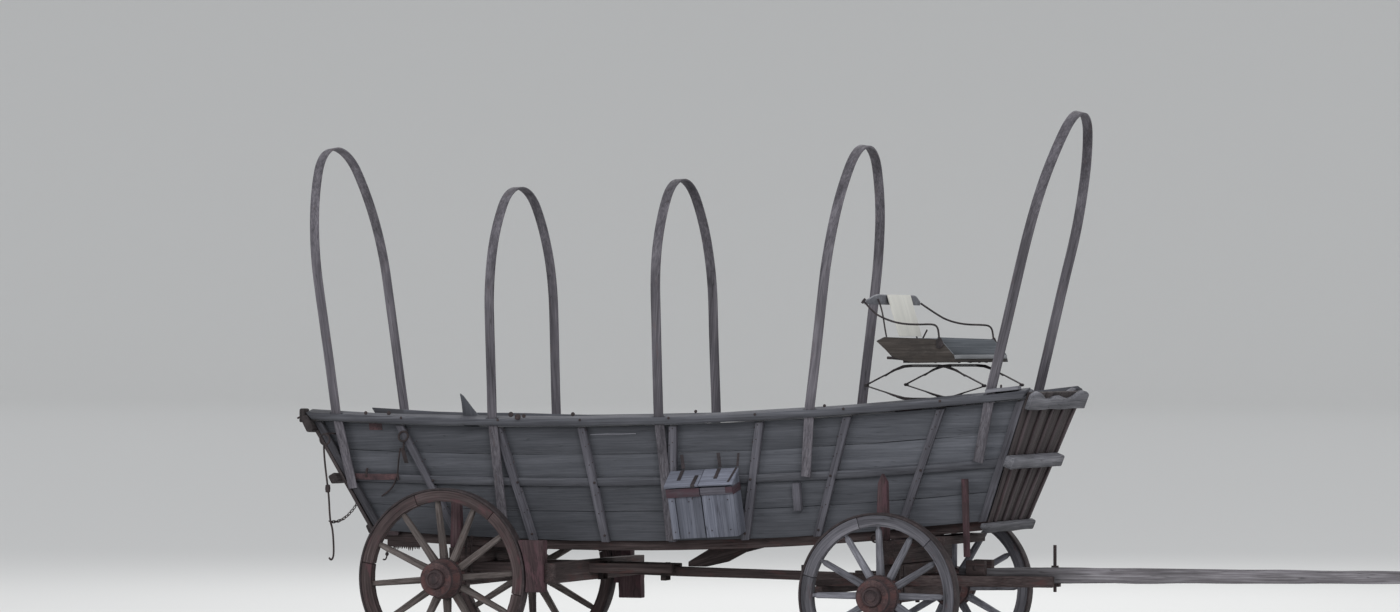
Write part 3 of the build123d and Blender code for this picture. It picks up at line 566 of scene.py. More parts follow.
# The rear stakes are shorter than the CAD's above their waist, and the front ones stand 50 mm
# further back.
STAKE_WAIST = 1.1
for vertex in bolster_stakes.data.vertices:
    if vertex.co.x < -2 and vertex.co.z > STAKE_WAIST:
        vertex.co.z = STAKE_WAIST + (vertex.co.z - STAKE_WAIST) * 0.55
    elif vertex.co.x > -2:
        vertex.co.x -= 0.05
for name, node_name, body in (
        ("reach_timber", "reach", "bed"), ("reach_strut_timber", "reach_strut", "bed"),
        ("rear_hound_timbers", "rear_hounds", "bed"), ("cross_beam_timber", "front_cross_beam", "bed"),
        ("front_axle_timber", "front_axle", "front_gear"), ("sand_board_timber", "sand_board", "front_gear"),
        ("front_hound_timbers", "front_hounds", "front_gear"), ("sway_bar_timber", "sway_bar", "front_gear")):
    old_timber(name, node_name, body, gear_timber, "gear_wood")
tongue = old_timber("tongue_timber", "tongue", "front_gear", pale_gear_timber, "gear_wood",
                    step=0.15, edge=0.008, wander=0.006)
for vertex, level in with_tones(tongue):
    level.value *= 0.55 + 0.68 * share_of_way(vertex.co.x, 1.25, 0.35)
old_timber("brake_beam_timber", "brake_beam", "bed", gear_timber, "gear_wood")
old_timber("brake_block_timbers", "brake_blocks", "bed", red_timber, "gear_wood", tone=0.85)
for name in ("kingpin", "draw_pin"):
    dressed(name, gear_iron)


# Bed floor: long pine boards nailed on a ladder of oak sills. The sills are red-brown, the
# boards grey, and the outer ones are cut slanting to meet the flared sides.
FLARE = math.radians(11.5)
FLARE_Z = 1.85
SIDE_Y = 0.545
PLANK_HALF = 0.518
# Floor boards bleached by rain and rubbed by loads: a plain middle grey.
floor_timber = timber("grey_floor_pine", "#38363a", "#5a585c", "#7f7d80")
old_timber("floor_frame_timber", "floor_frame", "bed", gear_timber, "gear_wood", step=0.35, edge=0.005)
planks = old_timber("floor_planks", "bed_floor", "bed", floor_timber, "grey_wood")
for vertex in planks.data.vertices:
    if abs(vertex.co.y) > 0.312:
        half = PLANK_HALF - (FLARE_Z - vertex.co.z) * math.tan(FLARE)
        vertex.co.y = math.copysign(half, vertex.co.y)


# Sides: four wide pine boards a side, gone silver grey, nailed inside a fan of oak stakes and
# two rails that are bolted on. Their edges have worn and split.
TOP_RAIL = (-2.635, 1.839, 34.39)
MIDDLE_RAIL = (-2.601, 1.349, 38.92)
REAR_RAKE = math.tan(math.radians(27.7))
FRONT_RAKE = math.tan(math.radians(21.2))


def rail_height(rail, x):
    """The height of a sagging rail at x; a rail is its lowest point's x and z and its radius."""
    low_x, low_z, radius = rail
    return low_z + radius - math.sqrt(radius ** 2 - (x - low_x) ** 2)


# Side boards, silver grey with little contrast: the wagon's broadest and calmest surface.
board_timber = timber("silver_grey_pine_boards", "#43454b", "#53555b", "#65666d", contrast=0.6, stained=0.12,
                      cracked_by=0.25)
# Rails of grey oak, a little more grained than the boards behind them.
rail_timber = timber("grey_rail_oak", "#404147", "#525359", "#68696f", stained=0.16, cracked_by=0.35)
# Stakes of the same oak with deeper cracks, so that the fan reads against the boards.
stake_timber = timber("grey_stake_oak", "#403f45", "#56555c", "#6d6c73", stained=0.16, cracked_by=0.4)
side_planks = old_timber("side_planks", "side_boards", "bed", board_timber, "grey_wood",
                         step=0.24, wander=0.008, edge=0.003)
for vertex, level in with_tones(side_planks):
    level.value *= 0.80 + 0.28 * share_of_way(vertex.co.x, -2.0, 2.8)
rails = old_timber("side_rail_timbers", "side_rails", "bed", rail_timber, "grey_wood",
                   step=0.28, wander=0.007, edge=0.006)
stakes = old_timber("side_stake_timbers", "side_stakes", "bed", stake_timber, "grey_wood",
                    step=0.16, wander=0.005, edge=0.005)
# Both rails are worn back along their lower edges, which are painted darker as the shade under each rail, and
# are dark at their rear ends.
for vertex, level in with_tones(rails):
    level.value *= 0.62 if vertex.co.x < -4.05 else 1
    if 0.05 < rail_height(TOP_RAIL, vertex.co.x) - vertex.co.z < 0.14:
        vertex.co.z += 0.022
        level.value *= 0.75
    elif 0.018 < rail_height(MIDDLE_RAIL, vertex.co.x) - vertex.co.z < 0.060:
        vertex.co.z += 0.014
        level.value *= 0.72
# The posts of the rear end are the darkest, those of the front end a little dark, and the
# short stake ahead of the middle is bleached.
for vertex, level in with_tones(stakes):
    if vertex.co.x < -3.76 - (vertex.co.z - 0.98) * REAR_RAKE:
        level.value *= 0.5
    elif vertex.co.x > 0.84 + (vertex.co.z - 1.105) * FRONT_RAKE:
        level.value *= 0.82
    elif -0.60 < vertex.co.x < -0.44 and vertex.co.z < 1.45:
        level.value *= 1.3
old_timber("hanging_post_timber", "hanging_post", "bed", red_timber, "gear_wood", tone=0.85)


# Front end: dark upright boards behind fanned battens, a round-edged rail across the middle,
# a dark rail at the foot and two carved rails over the top. Pine boards, oak and ash rails.

# Dark brown boards, painted almost black as the bed's shade, which makes the end look deep behind its
# battens.
panel_timber = timber("dark_brown_end_boards", "#2b2627", "#3c3637", "#4f4849")
# Battens with a trace of red paint, just lighter than the boards.
batten_timber = timber("red_brown_battens", "#312a2c", "#443b3e", "#574d50", paint="#443537", share=0.2)
# Bare ash rails, the palest wood of the front end.
front_rail_timber = timber("pale_grey_rail_ash", "#505056", "#6d6d73", "#8d8d93", stained=0.2)
old_timber("front_end_planks", "front_end_boards", "bed", panel_timber, "grey_wood", wander=0.004)
old_timber("front_batten_timbers", "front_end_battens", "bed", batten_timber, "gear_wood",
           step=0.15, wander=0.006)
front_rails = old_timber("front_rail_timbers", "front_end_rails", "bed", front_rail_timber, "grey_wood",
                         step=0.12, wander=0.006, edge=0.007)
# Painted light: each rail is made lighter towards its top, as a painted highlight, and darker towards its
# foot, as painted shade. The rail at the foot is darker still.
for vertex, level in with_tones(front_rails):
    z = vertex.co.z
    foot, tall = (1.95, 0.09) if z > 1.9 else (1.50, 0.08) if z > 1.3 else (1.04, 0.06)
    level.value *= 0.70 + 0.48 * share_of_way(z, foot, tall)
    if z < 1.2:
        level.value *= 0.6


# Tail gate: upright boards nailed between three cross timbers, hinged at its foot. Pine and
# oak, the same dark brown as the front end's boards.
# The gate's boards and timbers take the end boards' finish, with its painted shade.
old_timber("tail_gate_planks", "tail_gate_boards", "tail_gate", panel_timber, "grey_wood",
           wander=0.004, tone=1.2)
old_timber("tail_gate_timbers", "tail_gate_rails", "tail_gate", panel_timber, "grey_wood",
           step=0.12, wander=0.006, edge=0.006, tone=1.05)


# Bows: five ash strips bent over the bed to carry a cover, which is missing. Their legs pass
# down behind the top rails. Brown and grey, with worn edges.
# How high each bow's arch is, from the rear, and the radius by which its grain is measured.
ARCH_RISES = (1.0, 0.9, 0.9, 0.96, 1.0)
ARCH_RADIUS = 0.82
LEG_STEP = 0.2
# Steamed ash, browner than the boards, with few flakes of paint: thin lines on a pale ground.
bow_timber = timber("grey_brown_bent_ash", "#3f3d42", "#5a575d", "#7b787e", paint="#574a4b", share=0.06)
bows = sorted(solids_of("bow", "bows"), key=lambda o: min(v.co.x for v in o.data.vertices))
for i, (piece, arch) in enumerate(zip(bows, ARCH_RISES)):
    low = min(v.co.z for v in piece.data.vertices)
    spring = max(v.co.z for v in piece.data.vertices) - arch
    leg_cuts = range(1, int((spring - low) / LEG_STEP) + 1)
    cut(piece, [(0, 0, low + LEG_STEP * k) for k in leg_cuts], (0, 0, 1))
    rng = random.Random("bow" + str(i))
    points = points_of(piece)
    rise = points[:, 2] - spring
    turn = np.clip(np.arctan2(rise, points[:, 1]), 0, math.pi)
    leg_length = np.where(points[:, 1] > 0, rise, ARCH_RADIUS * math.pi - rise)
    length = np.where(rise < 0, leg_length, ARCH_RADIUS * turn)
    normal = np.stack([np.zeros(len(points)), points[:, 1], np.where(rise > 0, rise, 0)], 1)
    normal /= np.linalg.norm(normal, axis=1)[:, None]
    across = points[:, 0] - rise * (0.1 * i - 0.15)
    lines = np.stack([length, across, np.hypot(points[:, 1], np.maximum(rise, 0))], 1)
    for k, far in enumerate(length):
        points[k, 0] += 0.0035 * noise.noise(Vector((far * 1.7 + 7 * i, 0, 3)))
        points[k] += normal[k] * 0.002 * noise.noise(Vector((far * 2.3, 5 * i, 9)))
    piece.data.vertices.foreach_set("co", points.astype(np.float32).ravel())
    stored(piece, lines + rng.uniform(0, 40), rng.uniform(0.88, 1.08))
    eased(piece, 0.003)
fitted(joined("bent_bows", bows), "bed", bow_timber, "bow_wood", "bows")


# Toolbox: a small pine box with a sloping lid, hung on the right side between two stakes. Five
# upright boards in front, some of them bleached, and a painted board across their heads.
def pivoted(place, angle, axis):
    """A turn about a place."""
    return Matrix.Translation(place) @ Matrix.Rotation(angle, 4, axis) @ Matrix.Translation(-Vector(place))


def board(name, low, high, along, seed, tone=1.0, edge=0.002, step=0.12, wander=0.0015):
    """A board between two corners, cut across its length so that its edges can wander."""
    low = Vector(low)
    high = Vector(high)
    made = box(name, high - low, (low + high) / 2)
    axis = Vector(along)
    length = abs((high - low) @ axis)
    count = max(1, round(length / step))
    start = [low[k] if axis[k] else (low[k] + high[k]) / 2 for k in range(3)]
    if count > 1:
        cut(made, [Vector(start) + axis * (length * k / count) for k in range(1, count)], along)
    rng = random.Random(seed)
    shift = rng.uniform(0, 90)
    for vertex in made.data.vertices:
        far = vertex.co @ axis
        for k in range(3):
            if not axis[k]:
                side = 11 * (vertex.co[k] > start[k])
                vertex.co[k] += wander * noise.noise(Vector((far / step / 2 + shift, side, 17 * k)))
    grained(made, along, seed, tone)
    eased(made, edge)
    return made


def placed(name, pieces, move):
    """Joins pieces that were made upright into one, and moves it to its place."""
    made = joined(name, pieces)
    made.data.transform(move)
    return made


BOX_LEFT = -1.412
BOX_RIGHT = -0.904
BOX_MIDDLE = -1.158
BOX_FOOT = 0.998
BOX_BACK = -0.590
BOX_FRONT = -0.7325
# Sun-bleached pine with a blue cast, the palest patch on the wagon's side.
box_timber = timber("bleached_box_pine", "#51535d", "#6c6f7b", "#878a96", contrast=0.7, stained=0.12,
                    cracked_by=0.45)
# The board across the front's rear half, which kept most of its thin red paint.
box_red_timber = timber("box_board_with_red_paint", "#3a3136", "#4f444b", "#675b62", paint="#48343b",
                        share=0.7)
# The one across its front half, where the paint is nearly gone from the grey wood.
box_grey_timber = timber("box_board_gone_grey", "#434148", "#5a5860", "#74727a", paint="#513f45",
                         share=0.15)
# Hinges, hasp and nails: thin dark iron that draws lines on the pale lid.
box_iron = iron("rusty_hinge_iron", "#262224", "#393336", "#4d4447")
lean = pivoted((0, -SIDE_Y, FLARE_Z), FLARE, "X")
on_side = lean @ pivoted((BOX_MIDDLE, 0, BOX_FOOT), math.radians(-3.5), "Y")
box_boards = []
# Rows are both ends in x, how far the board stands back, and its tone.
for i, (x0, x1, back, tone) in enumerate((
        (BOX_LEFT, -1.360, 0.003, 0.90), (-1.354, -1.224, 0.006, 0.68), (-1.2235, BOX_MIDDLE, 0.007, 0.54),
        (-1.148, -1.012, 0.003, 0.90), (-1.0115, BOX_RIGHT, 0.0035, 0.78))):
    box_boards.append(board("front_board", (x0, -0.750 + back, BOX_FOOT), (x1, -0.733, 1.366), (0, 0, 1),
                            "box" + str(i), tone))
for x0, x1 in ((BOX_LEFT, -1.394), (-0.922, BOX_RIGHT)):
    end = board("end_board", (x0, BOX_FRONT, BOX_FOOT), (x1, BOX_BACK, 1.448), (0, 0, 1),
                "end" + str(x0), 0.9)
    for vertex in end.data.vertices:
        if vertex.co.z > 1.40:
            vertex.co.z -= 0.4875 * (BOX_BACK - vertex.co.y)
    box_boards.append(end)
box_boards.append(board("floor_board", (-1.394, BOX_FRONT, BOX_FOOT), (-0.922, BOX_BACK, 1.016), (1, 0, 0),
                        "bottom", 0.8))
box_boards.append(board("back_board", (-1.394, -0.608, 1.016), (-0.922, BOX_BACK, 1.446), (1, 0, 0),
                        "back", 0.9))
fitted(placed("toolbox_boards", box_boards, on_side), "bed", box_timber, "grey_wood", "toolbox")
band_boards = []
for name, low, high, along, seed, tone in (
        ("band_left", (-1.418, -0.756, 1.305), (BOX_MIDDLE, -0.7505, 1.369), (1, 0, 0), "bandl", 0.84),
        ("band_end", (-1.418, -0.7504, 1.308), (-1.4125, -0.592, 1.366), (0, 1, 0), "be1", 0.8),
        ("band_end", (-0.9035, -0.7504, 1.308), (-0.899, -0.592, 1.366), (0, 1, 0), "be2", 0.8),
        ("band_tail", (-0.955, -0.757, 1.322), (-0.900, -0.7552, 1.366), (1, 0, 0), "be3", 1.0)):
    band_boards.append(board(name, low, high, along, seed, tone))
fitted(placed("toolbox_painted_board", band_boards, on_side), "bed", box_red_timber, "rusty_iron",
       "toolbox_band")
grey_band = board("toolbox_grey_board", (-1.152, -0.755, 1.312), (BOX_RIGHT, -0.7505, 1.366), (1, 0, 0),
                  "bandr")
grey_band.data.transform(on_side)
fitted(grey_band, "bed", box_grey_timber, "grey_wood")


# Its lid: two boards side by side, held by two strap hinges, with a hasp bent down over the
# front edge and a loose strap that lies slanting on its right end. Pine and thin iron.
def dome(name, radius, place, turn=Matrix.Identity(4), sides=8):
    """A nail or bolt head: a low dome on a short collar, pointing up before its turn."""
    bpy.ops.object.select_all(action="DESELECT")
    bpy.ops.mesh.primitive_circle_add(vertices=sides, radius=radius, fill_type="NGON", location=(0, 0, 0))
    made = bpy.context.object
    made.name = name
    opened()
    for lift, size in ((0.22, 1.0), (0.22, 0.78), (0.12, 0.5)):
        drawn_out((0, 0, radius * lift))
        bpy.ops.transform.resize(value=(size, size, 1))
    faced_outwards()
    bpy.ops.object.shade_smooth_by_angle(angle=SMOOTH_BELOW)
    made.data.transform(Matrix.Translation(place) @ turn)
    return made


def facing(side):
    """The turn that points a bolt head out to the left, 1, or to the right, -1."""
    return Matrix.Rotation(-side * math.pi / 2, 4, "X")


def strap(name, points, width, thick, across=(1, 0, 0)):
    """A flat iron strap bent along a line of points; across is the way its width lies."""
    across = Vector(across).normalized()
    bpy.ops.object.select_all(action="DESELECT")
    bpy.ops.mesh.primitive_plane_add(size=1)
    made = bpy.context.object
    made.name = name
    opened()
    for _ in points[1:]:
        drawn_out((0, 0, 1))
    bpy.ops.object.mode_set(mode="OBJECT")
    line = [Vector(p) for p in points]
    for vertex in made.data.vertices:
        k = round(vertex.co.z)
        way = (line[min(k + 1, len(line) - 1)] - line[max(k - 1, 0)]).normalized()
        up = way.cross(across).normalized()
        vertex.co = line[k] + across * width * vertex.co.x + up * thick * vertex.co.y
    faced_outwards()
    eased(made, min(0.0012, thick * 0.3), segments=1, angle=50)
    return made


HINGES = (-1.325, -1.040)
slope = math.atan2(0.078, 0.16)
on_lid = on_side @ Matrix.Translation((0, -0.598, 1.456)) @ Matrix.Rotation(slope, 4, "X")
lid_deep = (0.762 - 0.598) / math.cos(slope)
lid_boards = [
    board("lid_left", (-1.424, -lid_deep, 0.0), (-1.160, 0, 0.018), (1, 0, 0), "lidl"),
    board("lid_right", (-1.155, -lid_deep, 0.001), (-0.892, 0, 0.0185), (1, 0, 0), "lidr", 1.2)]
fitted(placed("toolbox_lid_boards", lid_boards, on_lid), "toolbox_lid", box_timber, "grey_wood",
       "toolbox_lid")
lid_irons = []
for x in HINGES:
    lid_irons.append(strap("hinge", [(x, y, 0.0205) for y in (-0.002, -0.06, -0.118)], 0.028, 0.004))
    for y in (-0.03, -0.07, -0.105):
        lid_irons.append(dome("rivet", 0.006, (x, y, 0.0222)))
lid_irons.append(strap("hasp", [
    (-1.195, -0.07, 0.0205), (-1.198, -0.13, 0.0208), (-1.2, -lid_deep + 0.004, 0.0212),
    (-1.2, -lid_deep - 0.004, 0.015), (-1.2, -lid_deep - 0.004, -0.004)], 0.03, 0.003))
lid_irons.append(strap("loose_strap", [
    (-0.906, -0.002, 0.0205), (-0.916, -0.08, 0.0205), (-0.927, -0.165, 0.0207)], 0.018, 0.003))
fitted(placed("toolbox_lid_irons", lid_irons, on_lid), "toolbox_lid", box_iron, "rusty_iron")
side_irons = []
for x in HINGES:
    side_irons.append(strap("hinge_tail", [(x, -0.5905, 1.585), (x, -0.5905, 1.53), (x, -0.5925, 1.478)],
                            0.026, 0.004))
side_irons.append(strap("loose_strap_tail", [
    (-0.884, -0.5905, 1.575), (-0.893, -0.5905, 1.53), (-0.905, -0.5925, 1.478)], 0.018, 0.003))
for x, z in (
        (-1.22, 1.292), (-1.384, 1.05), (-1.38, 1.28), (-1.28, 1.04), (-1.25, 1.27), (-1.1, 1.05),
        (-1.09, 1.28), (-0.955, 1.05), (-0.95, 1.27)):
    side_irons.append(dome("nail", 0.005, (x, -0.75, z), facing(-1)))
fitted(placed("toolbox_irons", side_irons, on_side), "bed", box_iron, "rusty_iron")


# Spring seat: a dark boxed pan with raked ends, its inside and top grey with dust and with painted light from
# the sky. A curved steel band with a rolled lip and an off-white board make its back, on bent rods.
def plate(name, outline, low, high):
    """A flat plate: its outline in x and z is drawn with a disc's corners and extruded."""
    bpy.ops.object.select_all(action="DESELECT")
    bpy.ops.mesh.primitive_circle_add(vertices=len(outline), radius=0.1, fill_type="NGON")
    made = bpy.context.object
    made.name = name
    for vertex, (x, z) in zip(made.data.vertices, outline):
        vertex.co = (x, low, z)
    opened()
    drawn_out((0, high - low, 0))
    faced_outwards()
    return made


def rod(name, points, radius, closed=False):
    """A forged rod bent smoothly through the run of its points."""
    curve = bpy.data.curves.new(name, "CURVE")
    curve.dimensions = "3D"
    curve.bevel_depth = radius
    curve.bevel_resolution = 2
    curve.resolution_u = 5
    curve.use_fill_caps = True
    line = curve.splines.new("NURBS")
    line.points.add(len(points) - 1)
    for point, place in zip(line.points, points):
        point.co = (*place, 1)
    line.order_u = 3
    line.use_endpoint_u = not closed
    line.use_cyclic_u = closed
    made = bpy.data.objects.new(name, curve)
    bpy.context.scene.collection.objects.link(made)
    taken(made)
    bpy.ops.object.convert(target="MESH")
    bpy.ops.object.shade_smooth_by_angle(angle=math.radians(40))
    return made


SEAT_HALF = 0.6
SEAT_INNER = 0.5815
# Worn brown-black paint, flaked in patches: the seat's dark shape against the light.
seat_paint = timber("worn_dark_brown_seat_paint", "#2b2724", "#393431", "#4b4643", paint="#2e2a28", share=0.5,
                    stained=0.15, cracked_by=0.2)
# The same paint, grey with dust and painted lighter as skylight, wherever it faces up or inwards.
dusty_and_lit_paint = timber("dusty_grey_seat_paint", "#4c5054", "#5f6368", "#74787d", stained=0.15, cracked_by=0.15)
# The front edge, pale grey all over: a painted highlight, the line of light along the pan's top edge.
lit_edge_paint = timber("pale_worn_seat_edge", "#66686b", "#7d7f82", "#939598", stained=0.12, cracked_by=0.15)
# Off-white house paint on the back board, even and bright.
white_paint = timber("off_white_painted_board", "#c4c3bd", "#cccbc4", "#d3d1ca", contrast=0.6, stained=0.04,
                     cracked_by=0.06)
# Steel band that lost its paint and shows dull grey, and its lip, painted lighter still as a highlight along
# the band's top.
band_paint = iron("grey_seat_band_steel", "#55565b", "#67686e", "#7d7e84")
lip_paint = iron("pale_seat_band_lip", "#77787d", "#8d8e93", "#a3a4a8")
# Spring steel, rods and bolts, black-brown with a thin rust.
seat_iron = iron("dark_spring_steel", "#1f1c1e", "#2f292b", "#453d3e")
# The bare plank under the seat, a plain brown-grey.
seat_grey = timber("grey_seat_plank", "#3c3a3d", "#57555a", "#76747a")
end_line = ((0.153, 2.391), (0.213, 2.420), (0.633, 2.405), (0.730, 2.299), (0.745, 2.240), (0.446, 2.235),
            (0.360, 2.250), (0.281, 2.278))
back_line = ((0.160, 2.385), (0.205, 2.415), (0.225, 2.405), (0.300, 2.284), (0.275, 2.270))
pan_plates = []
for name, outline, low, high, along, tone in (
        ("near_end", end_line, -SEAT_HALF, -SEAT_HALF + 0.018, (1, 0, 0), 1.0),
        ("far_end", end_line, SEAT_HALF - 0.018, SEAT_HALF, (1, 0, 0), 1.0),
        ("pan_back", back_line, -SEAT_INNER, SEAT_INNER, (0, 1, 0), 1.05)):
    piece = plate(name, outline, low, high)
    grained(piece, along, name, tone)
    eased(piece, 0.003)
    pan_plates.append(piece)
pan_plates.append(board("pan_floor", (0.280, -SEAT_INNER, 2.262), (0.722, SEAT_INNER, 2.284), (0, 1, 0),
                        "pan_floor", step=0.3))
pan_plates.append(board("pan_bottom", (0.446, -SEAT_INNER, 2.241), (0.738, SEAT_INNER, 2.2615), (0, 1, 0),
                        "pan_bottom", 0.85, step=0.3))
pan = fitted(joined("seat_pan_plates", pan_plates), "bed", seat_paint, "seat_paint", "seat_pan")
pan.data.materials.append(dusty_and_lit_paint)
# Faces that look up or inwards take the lighter copy: dust, and painted skylight.
for face in pan.data.polygons:
    inner = abs(face.normal.y) > 0.7 and face.normal.y * face.center.y < 0 and abs(face.center.y) > 0.5
    if face.normal.z > 0.6 or inner:
        face.material_index = 1
front_edge = board("seat_front_edge", (0.7225, -SEAT_INNER, 2.2625), (0.744, SEAT_INNER, 2.293), (0, 1, 0),
                   "front_edge", edge=0.006, step=0.3)
# The pale edge is a painted highlight.
fitted(front_edge, "bed", lit_edge_paint, "seat_paint")
old_timber("seat_plank_timber", "seat_plank", "bed", seat_grey, "grey_wood")
old_timber("seat_cleat_timbers", "seat_cleats", "bed", gear_timber, "grey_wood")
white_board = plate("white_back_board", ((0.104, 2.725), (0.190, 2.425), (0.206, 2.425), (0.120, 2.725)),
                    -0.24, 0.24)
for vertex in white_board.data.vertices:
    vertex.co.y += 0.02 * (vertex.co.y < 0) * (vertex.co.z < 2.5)
grained(white_board, (0.275, 0, -0.96), "white")
eased(white_board, 0.003)
fitted(white_board, "bed", white_paint, "white_board", "seat_back_board")
BAND_HALF = 0.55
BAND_TOP = 2.720


def band_bend(y):
    """How far the band's ends turn back, and how far its top falls there."""
    end = max(0, (abs(y) - 0.30) / 0.25)
    fall = 0.058 * max(0, (abs(y) - 0.38) / 0.17) ** 2
    return 0.045 * end ** 2 * (1 if y < 0 else 0.3), min(fall, 0.045)


seat_band = board("seat_back_band_steel", (0.089, -BAND_HALF, 2.652), (0.100, BAND_HALF, BAND_TOP), (0, 1, 0),
                  "band", step=0.055, wander=0.001)
for vertex in seat_band.data.vertices:
    bend, fall = band_bend(vertex.co.y)
    vertex.co.x -= bend
    if vertex.co.z > 2.69:
        vertex.co.z -= fall
fitted(seat_band, "bed", band_paint, "seat_paint", "seat_back_band")
lip_points = []
for step in range(23):
    y = -BAND_HALF + 0.05 * step
    bend, fall = band_bend(y)
    lip_points.append((0.095 - bend, y, BAND_TOP - fall))
# The lip's paler steel is a painted highlight.
fitted(rod("seat_band_lip", lip_points, 0.006), "bed", lip_paint, "seat_paint")


# Seat irons: two rod arms, back rods, brackets, bolts, and elliptic springs of three leaves
# whose ends meet in pointed eyes. Dark forged steel, bolted through the pan.
near_arm = rod("near_arm", (
    (0.048, -0.545, 2.668), (0.110, -0.55, 2.596), (0.210, -0.575, 2.548), (0.333, -0.600, 2.514),
    (0.463, -0.608, 2.507), (0.570, -0.608, 2.511), (0.612, -0.608, 2.500), (0.628, -0.608, 2.450),
    (0.632, -0.606, 2.345)), 0.007)
far_arm = rod("far_arm", (
    (0.090, 0.545, 2.668), (0.219, 0.575, 2.576), (0.302, 0.595, 2.536), (0.414, 0.606, 2.512),
    (0.550, 0.608, 2.510), (0.605, 0.608, 2.502), (0.628, 0.608, 2.455), (0.634, 0.606, 2.345)), 0.007)
fitted(joined("seat_arm_rods", [near_arm, far_arm]), "bed", seat_iron, "rusty_iron", "seat_arms")
seat_parts = []
for name, radius, places in (
        ("near_back_rod", 0.006, (
            (0.197, -0.49, 2.405), (0.187, -0.49, 2.440), (0.140, -0.44, 2.630), (0.100, -0.41, 2.690))),
        ("far_back_rod", 0.006, (
            (0.180, 0.22, 2.400), (0.168, 0.22, 2.440), (0.115, 0.19, 2.630), (0.082, 0.17, 2.690))),
        ("board_hook", 0.006, ((0.206, 0.255, 2.408), (0.222, 0.258, 2.440), (0.240, 0.26, 2.474))),
        ("band_knob", 0.010, ((0.052, -0.545, 2.690), (0.040, -0.555, 2.678), (0.034, -0.560, 2.660))),
        ("pan_bar", 0.010, ((0.232, -0.585, 2.272), (0.30, -0.585, 2.270), (0.36, -0.58, 2.262)))):
    seat_parts.append(rod(name, places, radius))
seat_parts.append(dome("board_bolt", 0.009, (0.128, 0.0, 2.655), Matrix.Rotation(math.radians(74), 4, "Y")))
for side in (-1, 1):
    low, high = sorted((side * 0.600, side * 0.612))
    foot = plate("arm_foot", ((0.606, 2.402), (0.640, 2.418), (0.664, 2.368), (0.640, 2.335), (0.608, 2.345)),
                 low, high)
    eased(foot, 0.002)
    seat_parts.append(foot)
    for x, z in ((0.622, 2.392), (0.640, 2.350)):
        seat_parts.append(dome("foot_bolt", 0.007, (x, side * 0.6121, z), facing(side)))
for x, y in ((0.46, -0.560), (0.585, -0.560), (0.715, -0.42), (0.715, -0.17), (0.715, 0.03), (0.715, 0.19),
             (0.715, 0.40), (0.46, 0.560), (0.585, 0.560)):
    seat_parts.append(dome("pan_bolt", 0.012, (x, y, 2.2415), Matrix.Rotation(math.pi, 4, "X")))
fitted(joined("seat_small_irons", seat_parts), "bed", seat_iron, "rusty_iron")
SPRING_X = 0.462
SPRING_Y = 0.43
SPRING_EYE = 2.074
SPRING_HALF = 0.444
LEAF = 0.0068
# The upper leaves and the lower ones, as half a line from the eye to the middle.
leaf_shapes = {
    1: ((SPRING_HALF, 0.003), (0.33, 0.060), (0.23, 0.107), (0.16, 0.129), (0.10, 0.1345), (0, 0.1345)),
    -1: ((SPRING_HALF, -0.003), (0.33, -0.038), (0.23, -0.068), (0.16, -0.085), (0.10, -0.089), (0, -0.089))}
spring_leaves = []
for side in (-SPRING_Y, SPRING_Y):
    for way, shape in leaf_shapes.items():
        for skip in range(3):
            half = list(shape[skip:])
            if skip:
                half[0] = (half[0][0] * 0.92, half[0][1])
            full = [(-x, z) for x, z in half] + half[-2::-1]
            line = [(SPRING_X + x, side, SPRING_EYE + z + way * skip * LEAF) for x, z in full]
            spring_leaves.append(strap("leaf", line, 0.042, 0.0062, (0, 1, 0)))
    for x in (-SPRING_HALF, SPRING_HALF):
        eye = turned("eye", [(-0.024, 0.005), (-0.024, 0.011), (0.024, 0.011), (0.024, 0.005)], 16)
        eye.data.transform(Matrix.Translation((SPRING_X + x * 0.995, side, SPRING_EYE)))
        spring_leaves.append(eye)
fitted(joined("seat_spring_leaves", spring_leaves), "bed", seat_iron, "rusty_iron", "seat_springs")
dressed("seat_saddles", seat_iron, 40)


# Bolts of the sides: a domed head where each stake crosses the top rail, the middle rail and
# the sill, clenched nails between them. Hand-forged iron, rusted brown, on both sides.
SILL = (-2.154, 0.914, 24.82)
STAKE_FEET = (-3.219, -2.619, -2.043, -1.519, -0.951, -0.396, 0.235)
STAKE_HEADS = (-3.620, -2.827, -2.165, -1.449, -0.775, -0.103, 0.605)


def on_flank(x, z, out, side=-1):
    """A place on a flared side, out from the boards' outer face."""
    return Vector((x, side * (SIDE_Y + out / math.cos(FLARE) - (FLARE_Z - z) * math.tan(FLARE)), z))


def stake_x(foot, head, z):
    """Where the middle of a stake stands at a height, from the x of its foot and its head."""
    return foot + 0.03 + (head - foot) * (z - 0.98) / 0.95


bolt_head = dome("bolt_head", 0.010, (0, 0, 0))
nail_head = dome("nail_head", 0.005, (0, 0, 0), sides=6)
heads = []
for side in (-1, 1):
    turn = Matrix.Rotation(-side * (math.pi / 2) + side * FLARE, 4, "X")
    for foot, head in zip(STAKE_FEET, STAKE_HEADS):
        z_top = rail_height(TOP_RAIL, stake_x(foot, head, 1.85)) - 0.024
        z_mid = rail_height(MIDDLE_RAIL, stake_x(foot, head, 1.37)) + 0.008
        z_low = rail_height(SILL, foot) + 0.06
        for z, out in ((z_top, 0.0822), (z_mid, 0.0432), (z_low, 0.0432)):
            place = Matrix.Translation(on_flank(stake_x(foot, head, z), z, out, side))
            heads.append(copied(bolt_head, "bolt", place @ turn))
        for part in (0.2, 0.36, 0.62, 0.78, 0.9):
            z = z_low + (z_top - z_low) * part
            for shift in (-0.012, 0.014):
                x = stake_x(foot, head, z) + shift
                place = Matrix.Translation(on_flank(x, z + shift * 0.7, 0.0430, side))
                heads.append(copied(nail_head, "nail", place @ turn))
